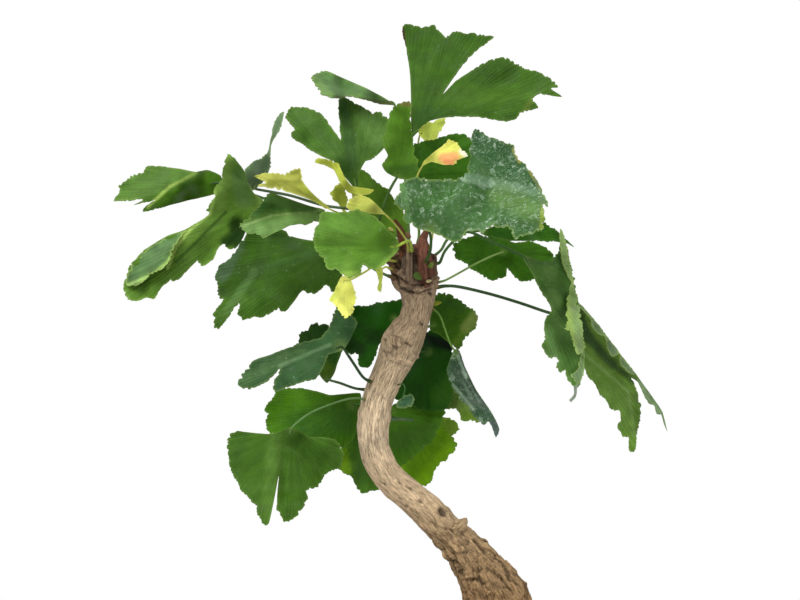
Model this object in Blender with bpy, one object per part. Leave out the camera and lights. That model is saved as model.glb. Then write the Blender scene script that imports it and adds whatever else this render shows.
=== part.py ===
"""Ginkgo bonsai: knobbly bent trunk, fan-shaped leaves on long stalks, soil and an oval pot.

Metres, +Z up. The origin is the middle of the pot's underside, which rests on the ground.
The front of the tree is seen along +Y. Leaves are laid out on the picture plane of a level
front view: a point is (across, down, depth), the first two in picture units of half a
millimetre at depth 0, the depth in millimetres away from the viewer.
"""
import math
import random

import bpy
import bmesh
from mathutils import Vector
from mathutils.geometry import delaunay_2d_cdt

UNIT = 0.0005
MM = 0.001
VIEW_DISTANCE = 0.944
MIDDLE_ACROSS = 400
MIDDLE_DOWN = 300
MIDDLE_X = -0.035
MIDDLE_Z = 0.240

SPREAD = 1.7
BLADE = 0.7 * MM
GRID = 21.0
GRID_ROWS = 40
ROW_STEP = 0.87
GRID_MARGIN = 0.42
SOFTENING = 36
FALL_OFF = -1.6
PLEATS = 9
PLEAT_DEPTH = 0.5
PLEAT_REACH = 90
STALK_SIDES = 5
STALK_ROOT = 0.16
STALK_TAPER = (0.55, 0.8)
STALK_RADIUS = 1.0 * MM
YELLOW_RADIUS = 0.7 * MM
FOOT_GAP = 0.28 * MM

POT_SIDES = 32
POT_RINGS = [
    (62, 44, 0), (62, 44, 5), (70, 51, 8), (83, 63, 34), (85, 65, 50), (91, 71, 53),
    (91, 71, 61), (89, 69, 62.5), (84, 64, 62.5), (82, 62, 60), (79, 59, 34), (66, 47, 12),
]
SOIL_RINGS = [
    (65.4, 46.4, 12.4), (78.5, 58.5, 34), (81.0, 61.0, 55), (74, 55, 57), (56, 41, 58.5),
    (36, 26, 59.5), (16, 12, 60),
]

GREEN = (0.10, 0.22, 0.04, 1)
YELLOW = (0.60, 0.58, 0.08, 1)
BARK = (0.45, 0.33, 0.20, 1)
EARTH = (0.10, 0.065, 0.04, 1)
CLAY = (0.23, 0.10, 0.06, 1)

SOCKET_GAP = 0.35 * MM
SOCKET_RISE = 1.0 * MM
SOCKET_DEPTH = 0.4 * MM
ROUGH_ABOVE = 56

TRUNK_SIDES = 18
LIMB_SIDES = 8
DOME = ((0.5, 0.84), (0.8, 0.56), (0.94, 0.28), (0.98, 0.06))
TRUNK_EDGES = [
    ((393, 263), (437, 268)), ((390, 271), (438, 281)),
    ((399, 283), (436, 293)), ((402, 296), (434, 306)), ((401, 308), (431, 316)),
    ((397, 319), (429, 326)), ((387, 331), (426, 337)), ((381, 342), (421, 349)),
    ((378, 353), (415, 361)), ((374, 366), (407, 373)), ((367, 382), (399, 390)),
    ((362, 397), (393, 404)), ((358, 415), (390, 418)), ((357, 432), (389, 432)),
    ((359, 450), (390, 446)), ((364, 466), (394, 456)), ((372, 480), (400, 467)),
    ((384, 494), (411, 477)), ((399, 507), (424, 487)), ((416, 524), (438, 498)),
    ((431, 541), (455, 515)), ((443, 557), (475, 532)), ((453, 575), (494, 549)),
    ((459, 592), (514, 570)), ((461, 606), (530, 590)),
]
TRUNK_BASE = [(501, 620, 5, 18.5), (507, 640, 4.5, 21), (512, 658, 4, 25), (513, 672, 4, 27)]
TRUNK_SWAY = [(250, 0), (330, 2), (430, -5), (500, -3), (560, 2), (610, 5)]

# Each limb of wood is a chain of (across, down, depth, radius in mm).
LIMBS = {
    "crown": [(408, 268, 1, 8.0), (402, 262, 1, 6.5)],
    "branch": [(404, 266, 0, 5.0), (388, 249, -1, 4.2), (374, 231, -2, 3.6), (362, 215, -2, 3.2),
               (354, 204, -2, 2.8)],
    "shoot": [(425, 284, -6, 3.0), (425, 268, -9, 3.8), (424, 252, -8, 3.6), (423, 240, -6, 2.4),
              (427, 230, -5, 1.4)],
    "stub": [(411, 286, -8, 2.8), (411, 270, -9.5, 3.0), (410, 251, -8, 2.4)],
    "bud": [(404, 252, -4, 2.6), (402, 240, -5, 2.4), (400, 230, -5, 2.0), (395, 220, -5, 0.8)],
    "knot": [(393, 330, -1, 3.4), (390, 341, -3, 4.8), (392, 350, -4, 4.2), (394, 358, -4, 3.0)],
    "cut_stalk": [(386, 419, -2, 1.6), (400, 419, -3, 1.1), (413, 420, -4, 0.9)],
    "burr": [(455, 530, -4, 5.0), (461, 525, -5, 3.6)],
}

# Leaves: stalk end on the blade, outline, points that set the depth beyond that end, stalk and
# the point inside the wood that the stalk grows from.
LEAVES = {
    "leaf_top_right": dict(
        base=(412, 137, 16), foot=(417, 250, 2), stalk=[(414, 165, 17), (417, 200, 14), (419, 232, 6)],
        blades=[(
            [(412, 137), (411, 118), (411, 98), (410, 75), (407, 52), (402, 27), (411, 25), (422, 28),
             (433, 26), (445, 37), (453, 33), (463, 32), (478, 35), (494, 37), (477, 50), (465, 62),
             (454, 77), (443, 94), (455, 82), (470, 72), (485, 63), (500, 58), (513, 62), (522, 68),
             (540, 73), (549, 78), (558, 87), (551, 89), (562, 97), (538, 94), (532, 101), (538, 108),
             (522, 112), (514, 120), (500, 121), (480, 117), (450, 117), (430, 121), (418, 132)],
            [(411, 27, 16), (450, 60, 7), (493, 37, 10), (442, 94, 2), (500, 75, 4), (557, 90, -4),
             (510, 119, -8), (450, 118, -2)])]),
    "leaf_top_left": dict(
        base=(394, 104, 10), foot=(409, 250, 4), stalk=[(399, 125, 9), (404, 165, 9), (408, 215, 9)],
        blades=[(
            [(395, 105), (381, 96), (367, 89), (352, 82), (338, 76), (326, 71), (317, 73), (312, 78),
             (315, 84), (319, 90), (324, 95), (331, 98), (338, 99), (346, 96), (366, 100), (380, 104)],
            [(345, 82, 14), (318, 72, 14), (313, 79, 2), (331, 98, -14), (360, 99, -9),
             (380, 98, 4)])]),
    "leaf_crown_folded": dict(
        base=(397, 177, -8), foot=(376, 233, -2), stalk=[(393, 184, -9), (388, 194, -10), (382, 211, -10)],
        blades=[(
            [(400, 179), (387, 173), (382, 165), (388, 156), (383, 145), (386, 130), (391, 112),
             (397, 105), (403, 102), (410, 103), (411, 125), (414, 150), (418, 165), (418, 179)],
            [(391, 112, -4), (405, 104, -8), (384, 142, -4), (384, 168, -1), (413, 150, 0),
             (417, 176, 0)]), (
            [(403, 178), (406, 162), (413, 146), (425, 141), (440, 137), (455, 134), (463, 134),
             (470, 138), (473, 150), (472, 164), (470, 178), (452, 181), (440, 181), (420, 179)],
            [(440, 139, 7), (463, 136, 10), (470, 148, 9), (455, 178, 4), (413, 147, 3),
             (412, 176, 0)])]),
    "leaf_crown_spotted": dict(
        base=(430, 230, -27), foot=(425, 264, -7), stalk=[(431, 240, -25), (430, 252, -21)],
        blades=[(
            [(430, 232), (419, 229), (408, 223), (400, 208), (396, 199), (402, 183), (410, 179),
             (420, 178), (430, 181), (450, 179), (466, 176), (470, 150), (474, 131), (478, 130),
             (486, 135), (503, 142), (513, 145), (515, 154), (520, 161), (532, 173), (538, 183), (542, 192),
             (548, 206), (542, 205), (545, 217), (541, 233), (528, 233), (523, 239), (517, 239),
             (510, 231), (493, 224), (489, 229), (480, 233), (468, 229), (464, 237), (456, 239),
             (447, 238)],
            [(402, 184, 2), (397, 200, -3), (450, 181, 3), (475, 132, 14), (500, 145, 10),
             (540, 183, 2), (545, 217, -6), (520, 238, -12), (458, 239, -5), (470, 205, -2),
             (490, 180, 4)])]),
    "leaf_right_dark": dict(
        base=(503, 252, 9), foot=(420, 288, 0), stalk=[(492, 256, 5), (477, 263, 2), (459, 273, 0),
                                                       (446, 280, 0)],
        blades=[(
            [(516, 243), (500, 238), (475, 236), (458, 240), (453, 248), (456, 256), (463, 262),
             (475, 270), (488, 279), (497, 280), (506, 274), (507, 268), (512, 274), (518, 280),
             (525, 281), (536, 278), (546, 268), (554, 259), (550, 252), (543, 246), (530, 241)],
            [(453, 248, 9), (470, 264, 7), (490, 279, 4), (507, 266, 3), (525, 280, 2),
             (554, 259, 4), (475, 237, 9)])]),
    "leaf_right_back": dict(
        base=(480, 231, 26), foot=(424, 264, 2), stalk=[(462, 233, 22), (448, 239, 15), (441, 250, 8)],
        blades=[(
            [(480, 233), (500, 224), (525, 220), (545, 224), (560, 234), (574, 247), (566, 243),
             (556, 242), (545, 241), (520, 241), (500, 240)],
            [(545, 224, 10), (574, 246, 12), (520, 238, -5)])]),
    "leaf_drooping_inner": dict(
        base=(524, 257, -8), foot=(420, 270, 0),
        stalk=[(510, 250, -9), (490, 241, -8), (468, 232, -7), (455, 240, -6), (445, 251, -5),
               (440, 262, -3)],
        blades=[(
            [(522, 256), (533, 275), (540, 290), (552, 308), (550, 313), (545, 320), (544, 330),
             (545, 337), (542, 345), (548, 357), (556, 356), (558, 360), (556, 367), (560, 371),
             (565, 370), (566, 376), (571, 384), (576, 388), (580, 380), (584, 368), (584, 345),
             (580, 320), (577, 300), (573, 280), (569, 260), (564, 240), (561, 240), (559, 252),
             (553, 260), (540, 261), (530, 257)],
            [(552, 308, -6), (543, 345, -12), (560, 370, -14), (576, 388, -16), (584, 368, -12),
             (583, 345, -6), (577, 300, 0), (569, 260, 4), (563, 240, 5), (545, 261, 1)]), (
            [(560, 229), (563, 232), (565, 240), (569, 260), (573, 280), (577, 300), (580, 320),
             (584, 345), (582, 353), (577, 354), (575, 347), (572, 340), (571, 332), (566, 329),
             (568, 320), (566, 314), (568, 300), (569, 290), (571, 282), (566, 273), (562, 262),
             (560, 245)],
            [(561, 230, 6), (564, 240, 5), (569, 260, 4), (577, 300, 0), (584, 345, -6),
             (571, 282, -6), (561, 250, -1), (566, 315, -13), (571, 335, -17), (577, 353, -17)]), (
            [(584, 348), (584, 368), (580, 381), (577, 388), (576, 396), (571, 402), (569, 400),
             (574, 394), (574, 387), (576, 382), (571, 376), (577, 370), (580, 358)],
            [(584, 348, -7), (584, 368, -12), (576, 388, -17), (571, 376, -20), (570, 401, -19)])]),
    "leaf_drooping_outer": dict(
        base=(568, 316, 8), foot=(419, 290, 0),
        stalk=[(550, 313, 7), (520, 303, 5), (490, 294, 3), (460, 287, 1), (446, 286, 0)],
        blades=[(
            [(566, 316), (574, 340), (585, 369), (588, 376), (595, 384), (600, 395), (605, 399),
             (608, 405), (612, 409), (620, 412), (621, 420), (617, 427), (621, 432), (623, 437),
             (628, 436), (629, 451), (635, 450), (636, 436), (640, 415), (639, 400), (635, 387),
             (631, 378), (638, 382), (643, 393), (649, 403), (654, 405), (657, 414), (661, 414),
             (664, 424), (667, 431), (662, 412), (653, 398), (637, 376), (624, 359), (610, 341),
             (599, 326), (589, 314), (578, 302), (570, 306)],
            [(585, 369, 0), (605, 399, -4), (620, 412, -7), (632, 445, -12), (640, 410, -4),
             (631, 378, 4), (590, 314, 6), (612, 341, 8), (638, 376, 9), (655, 399, 8),
             (667, 430, 4), (577, 303, 4)]), (
            [(576, 304), (578, 302), (589, 314), (599, 326), (610, 341), (624, 359), (637, 376),
             (631, 374), (626, 371), (620, 363), (619, 354), (612, 356), (607, 348), (605, 337),
             (598, 334), (592, 327), (590, 319), (583, 311)],
            [(578, 302, 4), (590, 314, 6), (612, 341, 8), (638, 376, 9), (590, 322, -1),
             (605, 338, -2), (612, 355, -2), (626, 370, 1)])]),
    "leaf_far_left": dict(
        base=(220, 183, 8), foot=(378, 237, -2),
        stalk=[(240, 190, 9), (280, 204, 10), (320, 217, 9), (355, 230, 5)],
        blades=[(
            [(222, 184), (221, 176), (208, 170), (195, 172), (180, 169), (155, 166), (148, 167),
             (140, 174), (131, 177), (119, 186), (121, 191), (114, 201), (130, 200), (143, 200),
             (134, 205), (155, 200), (143, 209), (144, 212), (170, 205), (190, 200), (215, 194)],
            [(208, 171, 4), (150, 168, 14), (119, 188, 10), (114, 201, 6), (143, 200, 0),
             (157, 200, -3), (175, 189, -4), (192, 176, -2), (144, 211, 3), (190, 200, 7),
             (213, 194, 3)])]),
    "leaf_left_long": dict(
        base=(262, 205, -3), foot=(368, 224, -2), stalk=[(285, 213, -4), (315, 220, -5), (345, 224, -5)],
        blades=[(
            [(266, 206), (263, 200), (253, 192), (245, 172), (235, 159), (228, 154), (225, 162),
             (223, 177), (214, 190), (216, 197), (208, 209), (209, 215), (190, 227), (182, 231),
             (167, 236), (146, 249), (132, 263), (127, 276), (124, 291), (130, 299), (138, 301),
             (148, 297), (155, 298), (161, 288), (171, 280), (178, 280), (186, 272), (197, 261),
             (202, 266), (213, 260), (217, 250), (223, 244), (228, 248), (236, 248), (243, 238),
             (248, 226), (256, 212)],
            [(228, 156, -14), (245, 172, -7), (214, 190, -7), (185, 230, -1), (146, 249, 6),
             (127, 280, 9), (155, 296, 3), (186, 270, 1), (215, 255, 3), (244, 222, 2),
             (230, 210, -1)]), (
            [(188, 229), (182, 232), (168, 237), (147, 250), (133, 264), (128, 277), (127, 286),
             (140, 284), (151, 274), (163, 268), (169, 261), (174, 247), (182, 236)],
            [(185, 230, -1), (167, 237, 3), (146, 249, 6), (132, 263, 8), (127, 280, 9),
             (140, 283, 0), (163, 268, -6), (174, 247, -6)])]),
    "leaf_left_upper": dict(
        base=(322, 212, -17), foot=(361, 214, -2), stalk=[(333, 215, -16), (347, 216, -11)],
        blades=[(
            [(325, 210), (310, 206), (295, 201), (275, 194), (268, 194), (264, 201), (256, 210),
             (247, 219), (240, 227), (249, 234), (257, 233), (264, 238), (278, 231), (290, 226),
             (305, 225), (320, 219)],
            [(300, 209, -1), (272, 195, -2), (241, 227, 2), (262, 236, -8), (290, 226, -8),
             (270, 212, 1)])]),
    "leaf_left_lower": dict(
        base=(341, 243, 8), foot=(417, 286, 0), stalk=[(358, 257, 5), (374, 269, 1), (386, 275, -1)],
        blades=[(
            [(344, 242), (330, 240), (315, 241), (301, 239), (291, 236), (283, 230), (265, 227), (250, 232),
             (241, 242), (236, 251), (230, 259), (218, 267), (216, 276), (217, 290), (222, 301),
             (215, 311), (214, 326), (220, 328), (226, 320), (234, 309), (239, 302), (240, 308),
             (237, 315), (247, 319), (258, 316), (270, 314), (276, 309), (286, 311), (293, 303),
             (303, 290), (315, 294), (326, 285), (334, 292), (342, 278), (343, 260)],
            [(283, 232, 10), (241, 242, 13), (218, 270, 6), (215, 322, -7), (240, 313, -6),
             (286, 308, -12), (334, 288, -8), (285, 262, -2)])]),
    "leaf_centre_front": dict(
        base=(396, 247, -24), foot=(412, 256, 0), stalk=[(403, 243, -25), (409, 241, -21), (411, 244, -14)],
        blades=[(
            [(399, 249), (398, 240), (390, 232), (380, 221), (372, 215), (362, 211), (350, 212),
             (335, 213), (323, 212), (319, 220), (313, 236), (314, 245), (322, 258), (330, 269),
             (343, 273), (349, 277), (355, 277), (360, 274), (363, 264), (369, 268), (378, 268),
             (385, 264), (394, 255)],
            [(372, 216, -4), (335, 214, -7), (314, 240, -14), (345, 275, -18), (384, 266, -10),
             (355, 240, -8)])]),
    "leaf_upper_left": dict(
        base=(356, 187, 4), foot=(355, 206, -2), stalk=[(356, 193, 3)],
        blades=[(
            [(357, 190), (344, 176), (334, 162), (321, 156), (311, 150), (298, 141), (291, 136),
             (294, 128), (286, 117), (291, 108), (305, 108), (321, 114), (333, 129), (341, 140),
             (339, 115), (339, 100), (344, 97), (357, 105), (368, 110), (373, 114), (378, 112),
             (384, 116), (388, 121), (386, 135), (384, 148), (375, 157), (365, 162), (359, 174)],
            [(291, 109, 14), (291, 137, 2), (320, 130, 7), (341, 141, 2), (342, 100, 12),
             (384, 121, 5), (384, 148, 1), (335, 160, -2)])]),
    "leaf_left_edge_on": dict(
        base=(253, 188, -13), foot=(357, 209, -2), stalk=[(272, 192, -12), (292, 196, -11),
                                                         (322, 205, -11), (342, 208, -10)],
        blades=[(
            [(252, 191), (247, 180), (245, 170), (252, 163), (267, 154), (271, 138), (273, 127),
             (278, 116), (284, 112), (281, 127), (276, 136), (271, 146), (270, 168), (263, 182)],
            [(284, 113, 12), (271, 138, 6), (247, 170, -10), (269, 168, 7)])]),
    "leaf_centre_behind": dict(
        base=(399, 233, 20), foot=(411, 254, 3), stalk=[(404, 242, 14)],
        blades=[(
            [(402, 238), (390, 236), (375, 226), (362, 212), (354, 195), (359, 169), (374, 179),
             (388, 191), (401, 206), (408, 225), (409, 233)],
            [(358, 174, 10), (387, 193, 5), (362, 210, 2)])]),
    "leaf_mid_left": dict(
        base=(342, 347, -14), foot=(381, 388, 0), stalk=[(348, 355, -13), (354, 364, -11), (363, 377, -8)],
        blades=[(
            [(343, 350), (328, 355), (324, 366), (316, 378), (300, 383), (288, 387), (277, 391),
             (273, 387), (281, 368), (268, 380), (250, 389), (239, 386), (243, 374), (255, 360),
             (270, 355), (300, 343), (320, 338), (330, 325), (337, 307), (345, 312), (357, 321),
             (355, 329), (350, 340)],
            [(337, 308, 10), (356, 322, 8), (300, 344, 6), (241, 382, 0), (275, 388, -10),
             (316, 377, -9), (281, 368, -3)])]),
    "leaf_mid_behind": dict(
        base=(394, 318, 13), foot=(411, 322, 3), stalk=[(399, 319, 11)],
        blades=[(
            [(406, 317), (406, 300), (392, 301), (380, 303), (366, 306), (353, 306), (349, 316), (345, 328),
             (343, 346), (350, 353), (359, 354), (358, 364), (368, 368), (375, 357), (378, 347),
             (384, 338), (390, 328)],
            [(355, 308, 10), (346, 336, 4), (364, 366, -2)])]),
    "leaf_mid_hanging": dict(
        base=(327, 379, 4), foot=(380, 392, 0), stalk=[(340, 383, 2), (354, 388, 0)],
        blades=[(
            [(327, 383), (319, 374), (318, 360), (305, 352), (299, 342), (302, 333), (315, 324),
             (328, 326), (340, 335), (342, 350), (338, 362), (334, 374)],
            [(302, 335, 8), (328, 326, 10), (341, 345, 7)])]),
    "leaf_low_broad": dict(
        base=(352, 405, 11), foot=(377, 404, 3), stalk=[(359, 404, 10)],
        blades=[(
            [(361, 403), (360, 393), (342, 394), (330, 395), (316, 391), (295, 388), (277, 389),
             (274, 397), (265, 408), (268, 413), (266, 422), (270, 433), (285, 436), (310, 442),
             (330, 448), (345, 447), (354, 436), (359, 420)],
            [(275, 395, 9), (268, 425, 4), (320, 443, -2), (345, 446, -1), (310, 412, 1)])]),
    "leaf_low_hanging": dict(
        base=(291, 429, -20), foot=(376, 402, 0),
        stalk=[(300, 420, -19), (314, 411, -18), (340, 401, -14), (356, 398, -9)],
        blades=[(
            [(291, 427), (280, 431), (270, 434), (245, 432), (236, 431), (228, 440), (229, 462),
             (235, 478), (242, 490), (253, 502), (258, 514), (262, 522), (269, 523), (275, 495),
             (279, 475), (277, 505), (284, 521), (296, 516), (305, 503), (308, 498), (306, 490),
             (316, 487), (324, 477), (331, 470), (341, 466), (343, 455), (336, 440), (322, 437),
             (310, 437), (300, 432)],
            [(240, 434, 5), (229, 460, 4), (266, 522, -10), (279, 475, -4), (288, 518, -10),
             (341, 462, 5), (310, 438, 3)])]),
    "leaf_low_under_trunk": dict(
        base=(367, 424, 15), foot=(373, 412, 2), stalk=[(369, 419, 13)],
        blades=[(
            [(371, 420), (360, 421), (348, 431), (342, 444), (339, 456), (338, 469), (350, 475),
             (357, 487), (363, 493), (378, 490), (384, 480), (378, 460), (374, 440)],
            [(342, 468, -2), (363, 492, -1), (382, 482, 4), (351, 440, 0)])]),
    "leaf_low_fan": dict(
        base=(404, 424, 29), foot=(375, 418, 2), stalk=[(394, 421, 24), (384, 419, 17)],
        blades=[(
            [(401, 424), (404, 417), (420, 415), (443, 417), (453, 420), (460, 429), (453, 436),
             (456, 446), (446, 459), (440, 463), (434, 471), (431, 482), (425, 486), (408, 481),
             (391, 466), (388, 440)],
            [(443, 418, 4), (458, 430, 2), (447, 458, -3), (427, 484, -4), (404, 468, 0)])]),
    "leaf_low_dark": dict(
        base=(392, 411, 15), foot=(376, 408, 2), stalk=[(386, 410, 13)],
        blades=[(
            [(389, 411), (394, 404), (410, 400), (428, 400), (445, 405), (443, 415), (441, 425),
             (436, 435), (430, 443), (420, 452), (408, 461), (394, 470), (384, 456), (383, 440),
             (389, 425)],
            [(428, 401, 4), (445, 406, 3), (441, 427, 0), (408, 460, -1), (392, 440, 0)])]),
    "leaf_right_upper": dict(
        base=(433, 325, 12), foot=(414, 330, 2), stalk=[(427, 327, 11)],
        blades=[(
            [(430, 330), (430, 318), (433, 305), (436, 295), (445, 293), (460, 301), (474, 311),
             (478, 321), (472, 331), (465, 337), (458, 349), (448, 342), (438, 334)],
            [(445, 294, 4), (475, 320, -2), (458, 347, -1)])]),
    "leaf_right_hanging": dict(
        base=(456, 353, -4), foot=(424, 299, 2),
        stalk=[(450, 343, -5), (445, 329, -3), (440, 316, 0)],
        blades=[(
            [(454, 350), (459, 350), (465, 367), (476, 390), (491, 412), (499, 428), (496, 437),
             (490, 422), (484, 425), (476, 418), (468, 408), (458, 395), (448, 378), (448, 366)],
            [(450, 372, -4), (470, 408, -10), (496, 432, -6), (484, 424, -9), (478, 393, 6),
             (465, 367, 3)])]),
    "leaf_right_shaded": dict(
        base=(428, 352, 17), foot=(402, 352, 2), stalk=[(420, 352, 14)],
        blades=[(
            [(418, 348), (422, 336), (431, 330), (443, 334), (451, 346), (454, 362), (456, 378),
             (452, 394), (448, 407), (432, 411), (414, 406), (397, 400), (394, 388), (399, 375),
             (409, 362)],
            [(440, 339, 3), (454, 378, -1), (430, 406, -3), (403, 394, -2)])]),
    "leaf_right_pale": dict(
        base=(453, 373, 23), foot=(404, 344, 4), stalk=[(444, 362, 27), (430, 350, 27), (415, 345, 18)],
        blades=[(
            [(450, 368), (444, 380), (441, 396), (448, 410), (456, 408), (463, 421), (470, 420),
             (480, 422), (479, 410), (474, 395), (465, 378), (456, 368)],
            [(442, 394, 0), (466, 420, -7), (479, 418, -6)])]),
    "leaf_by_trunk": dict(
        base=(401, 402, -5), foot=(387, 386, 0), stalk=[(403, 396, -6), (405, 389, -7), (403, 384, -6)],
        blades=[(
            [(397, 402), (404, 396), (411, 394), (415, 400), (412, 405), (408, 408), (400, 408)],
            [(411, 395, 2), (409, 407, -3)])]),
    "leaf_yellow_top": dict(
        base=(420, 134, -2), foot=(419, 256, -2), stalk=[(418, 150, 6), (421, 185, 4), (425, 222, 1)],
        blades=[(
            [(418, 132), (425, 124), (435, 121), (445, 118), (444, 124), (440, 132), (434, 139),
             (424, 140)],
            [(444, 119, -6), (436, 138, -8)])], yellow=True),
    "leaf_yellow_orange": dict(
        base=(424, 164, -15), foot=(429, 262, -3), stalk=[(417, 178, -14), (418, 200, -13), (432, 226, -11)],
        blades=[(
            [(422, 166), (424, 161), (432, 154), (440, 148), (449, 140), (456, 143), (460, 148),
             (468, 156), (460, 158), (455, 164), (444, 165), (432, 162)],
            [(449, 141, -2), (468, 156, -6), (448, 164, -9)])], yellow=True),
    "leaf_yellow_left": dict(
        base=(326, 207, -21), foot=(364, 218, -2), stalk=[(336, 212, -20), (350, 216, -14)],
        blades=[(
            [(329, 207), (320, 200), (310, 191), (303, 182), (300, 168), (292, 172), (285, 175),
             (268, 174), (254, 176), (266, 182), (258, 186), (275, 188), (291, 193), (306, 198),
             (317, 203), (326, 209)],
            [(300, 169, 4), (254, 177, 2), (260, 186, -5), (295, 195, -4)])], yellow=True),
    "leaf_yellow_twisted": dict(
        base=(352, 189, -12), foot=(354, 205, -2), stalk=[(353, 196, -11)],
        blades=[(
            [(315, 163), (318, 158), (328, 160), (338, 164), (345, 178), (352, 186), (364, 188),
             (374, 190), (368, 194), (358, 195), (348, 192), (340, 182), (334, 170), (325, 165)],
            [(316, 160, -8), (336, 165, -2), (342, 184, -5), (373, 190, -6)])], yellow=True),
    "leaf_yellow_centre": dict(
        base=(381, 211, -24), foot=(410, 258, -3), stalk=[(390, 219, -23), (398, 228, -20), (406, 240, -14)],
        blades=[(
            [(347, 203), (353, 198), (360, 195), (370, 199), (378, 206), (385, 214), (374, 214),
             (360, 211), (350, 210)],
            [(349, 205, -4), (361, 196, 2), (362, 211, -5)])], yellow=True),
    "leaf_yellow_small": dict(
        base=(342, 208, -3), foot=(358, 210, -1), stalk=[(347, 213, -3)],
        blades=[(
            [(341, 183), (334, 188), (330, 195), (333, 200), (338, 203), (344, 213), (347, 203),
             (345, 191)],
            [(340, 184, -6), (331, 196, -3), (345, 196, 0)])], yellow=True),
    "leaf_yellow_hanging": dict(
        base=(344, 281, -14), foot=(402, 262, 0), stalk=[(352, 279, -14), (368, 270, -14), (382, 260, -12)],
        blades=[(
            [(341, 277), (346, 276), (351, 280), (354, 289), (356, 298), (354, 306), (352, 312),
             (345, 318), (340, 312), (337, 306), (330, 300), (334, 292), (337, 285)],
            [(355, 300, 3), (344, 316, -6), (331, 300, -3)])], yellow=True),
    "leaf_yellow_tiny": dict(
        base=(381, 270, -6), foot=(403, 274, 0), stalk=[(386, 267, -6)],
        blades=[(
            [(375, 268), (380, 265), (383, 271), (382, 282), (381, 291), (377, 290), (379, 280)],
            [(378, 289, -3)])], yellow=True),
}


def at(across, down, depth):
    """A picture point at a depth, as a point of the part."""
    y = depth * MM
    reach = UNIT * (1 + y / VIEW_DISTANCE)
    return Vector((MIDDLE_X + (across - MIDDLE_ACROSS) * reach, y,
                   MIDDLE_Z + (MIDDLE_DOWN - down) * reach))


def trunk_chain():
    chain = []
    for left, right in TRUNK_EDGES:
        radius = math.dist(left, right) / 2 * UNIT
        down = (left[1] + right[1]) / 2
        chain.append((at((left[0] + right[0]) / 2, down, sway(down)), radius))
    return chain + limb_chain(TRUNK_BASE)


def sway(down):
    """Depth of the trunk's middle at a height, blended between the given ones."""
    for (top, a), (low, b) in zip(TRUNK_SWAY, TRUNK_SWAY[1:]):
        if down <= low:
            t = max(0.0, (down - top) / (low - top))
            return a + (b - a) * t * t * (3 - 2 * t)
    return TRUNK_SWAY[-1][1]


def limb_chain(points):
    return [(at(x, y, d), r * MM) for x, y, d, r in points]


def domed(chain):
    """A chain with a rounded end added after its last point."""
    end, radius = chain[-1]
    ahead = (end - chain[-2][0]).normalized()
    return chain + [(end + ahead * radius * out, radius * wide) for out, wide in DOME]


WOOD = [trunk_chain()] + [limb_chain(points) for points in LIMBS.values()]


def to_wood(point):
    """Distance from a point to the nearest wood."""
    nearest = 1.0
    for chain in WOOD:
        for (a, ra), (b, rb) in zip(chain, chain[1:]):
            along = b - a
            t = max(0.0, min(1.0, (point - a).dot(along) / along.length_squared))
            nearest = min(nearest, (point - a - along * t).length - (ra + (rb - ra) * t))
    return nearest


def foot_of(start, inside, radius):
    """Where the flat end of a stalk from start toward a point in the wood is a gap off the bark."""
    side = (inside - start).orthogonal().normalized()
    up = side.cross((inside - start).normalized())
    rim = [(side * math.cos(k) + up * math.sin(k)) * radius for k in range(7)]
    low, high = 0.0, 1.0
    for _ in range(30):
        middle = (low + high) / 2
        spot = start.lerp(inside, middle)
        if min(to_wood(spot + r) for r in rim) > FOOT_GAP:
            low = middle
        else:
            high = middle
    return start.lerp(inside, low)


def closed_object(name, points, faces):
    mesh = bpy.data.meshes.new(name)
    mesh.from_pydata([tuple(p) for p in points], [], faces)
    mesh.validate()
    work = bmesh.new()
    work.from_mesh(mesh)
    if work.calc_volume(signed=True) < 0:
        bmesh.ops.reverse_faces(work, faces=work.faces)
    work.to_mesh(mesh)
    work.free()
    obj = bpy.data.objects.new(name, mesh)
    bpy.context.scene.collection.objects.link(obj)
    return obj


def tube(name, path, radii, sides):
    """A round bar along a path, with a flat end at each side."""
    points, faces = [], []
    side = None
    for i, (centre, radius) in enumerate(zip(path, radii)):
        ahead = path[min(i + 1, len(path) - 1)] - path[max(i - 1, 0)]
        ahead.normalize()
        if side is None:
            side = ahead.orthogonal().normalized()
        side = (side - ahead * side.dot(ahead)).normalized()
        up = ahead.cross(side)
        for k in range(sides):
            angle = 2 * math.pi * k / sides
            points.append(centre + (side * math.cos(angle) + up * math.sin(angle)) * radius)
    for i in range(len(path) - 1):
        for k in range(sides):
            a, b = i * sides + k, i * sides + (k + 1) % sides
            faces.append((a, b, b + sides))
            faces.append((a, b + sides, a + sides))
    faces.append(tuple(range(sides))[::-1])
    faces.append(tuple(range((len(path) - 1) * sides, len(path) * sides)))
    return closed_object(name, points, faces)


def smooth(points, steps):
    """Points along a rounded curve through the given ones."""
    padded = [points[0] * 2 - points[1]] + points + [points[-1] * 2 - points[-2]]
    curve = []
    for i in range(1, len(padded) - 2):
        a, b, c, d = padded[i - 1:i + 3]
        for k in range(steps):
            t = k / steps
            curve.append(0.5 * (2 * b + (c - a) * t + (2 * a - 5 * b + 4 * c - d) * t * t
                                + (3 * b - a - 3 * c + d) * t ** 3))
    curve.append(points[-1])
    return curve


def joined(first, others):
    """One solid from several that overlap."""
    for other in others:
        step = first.modifiers.new("join", "BOOLEAN")
        step.operation = "UNION"
        step.solver = "MANIFOLD"
        step.object = other
        settle(first)
        bpy.data.objects.remove(other)
    return first


def settle(obj):
    graph = bpy.context.evaluated_depsgraph_get()
    graph.update()
    mesh = bpy.data.meshes.new_from_object(obj.evaluated_get(graph))
    obj.modifiers.clear()
    obj.data = mesh
    mesh.name = obj.name


def inside(point, outline):
    hit = False
    for (ax, ay), (bx, by) in zip(outline, outline[1:] + outline[:1]):
        if (ay > point[1]) != (by > point[1]):
            if point[0] < (bx - ax) * (point[1] - ay) / (by - ay) + ax:
                hit = not hit
    return hit


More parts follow.
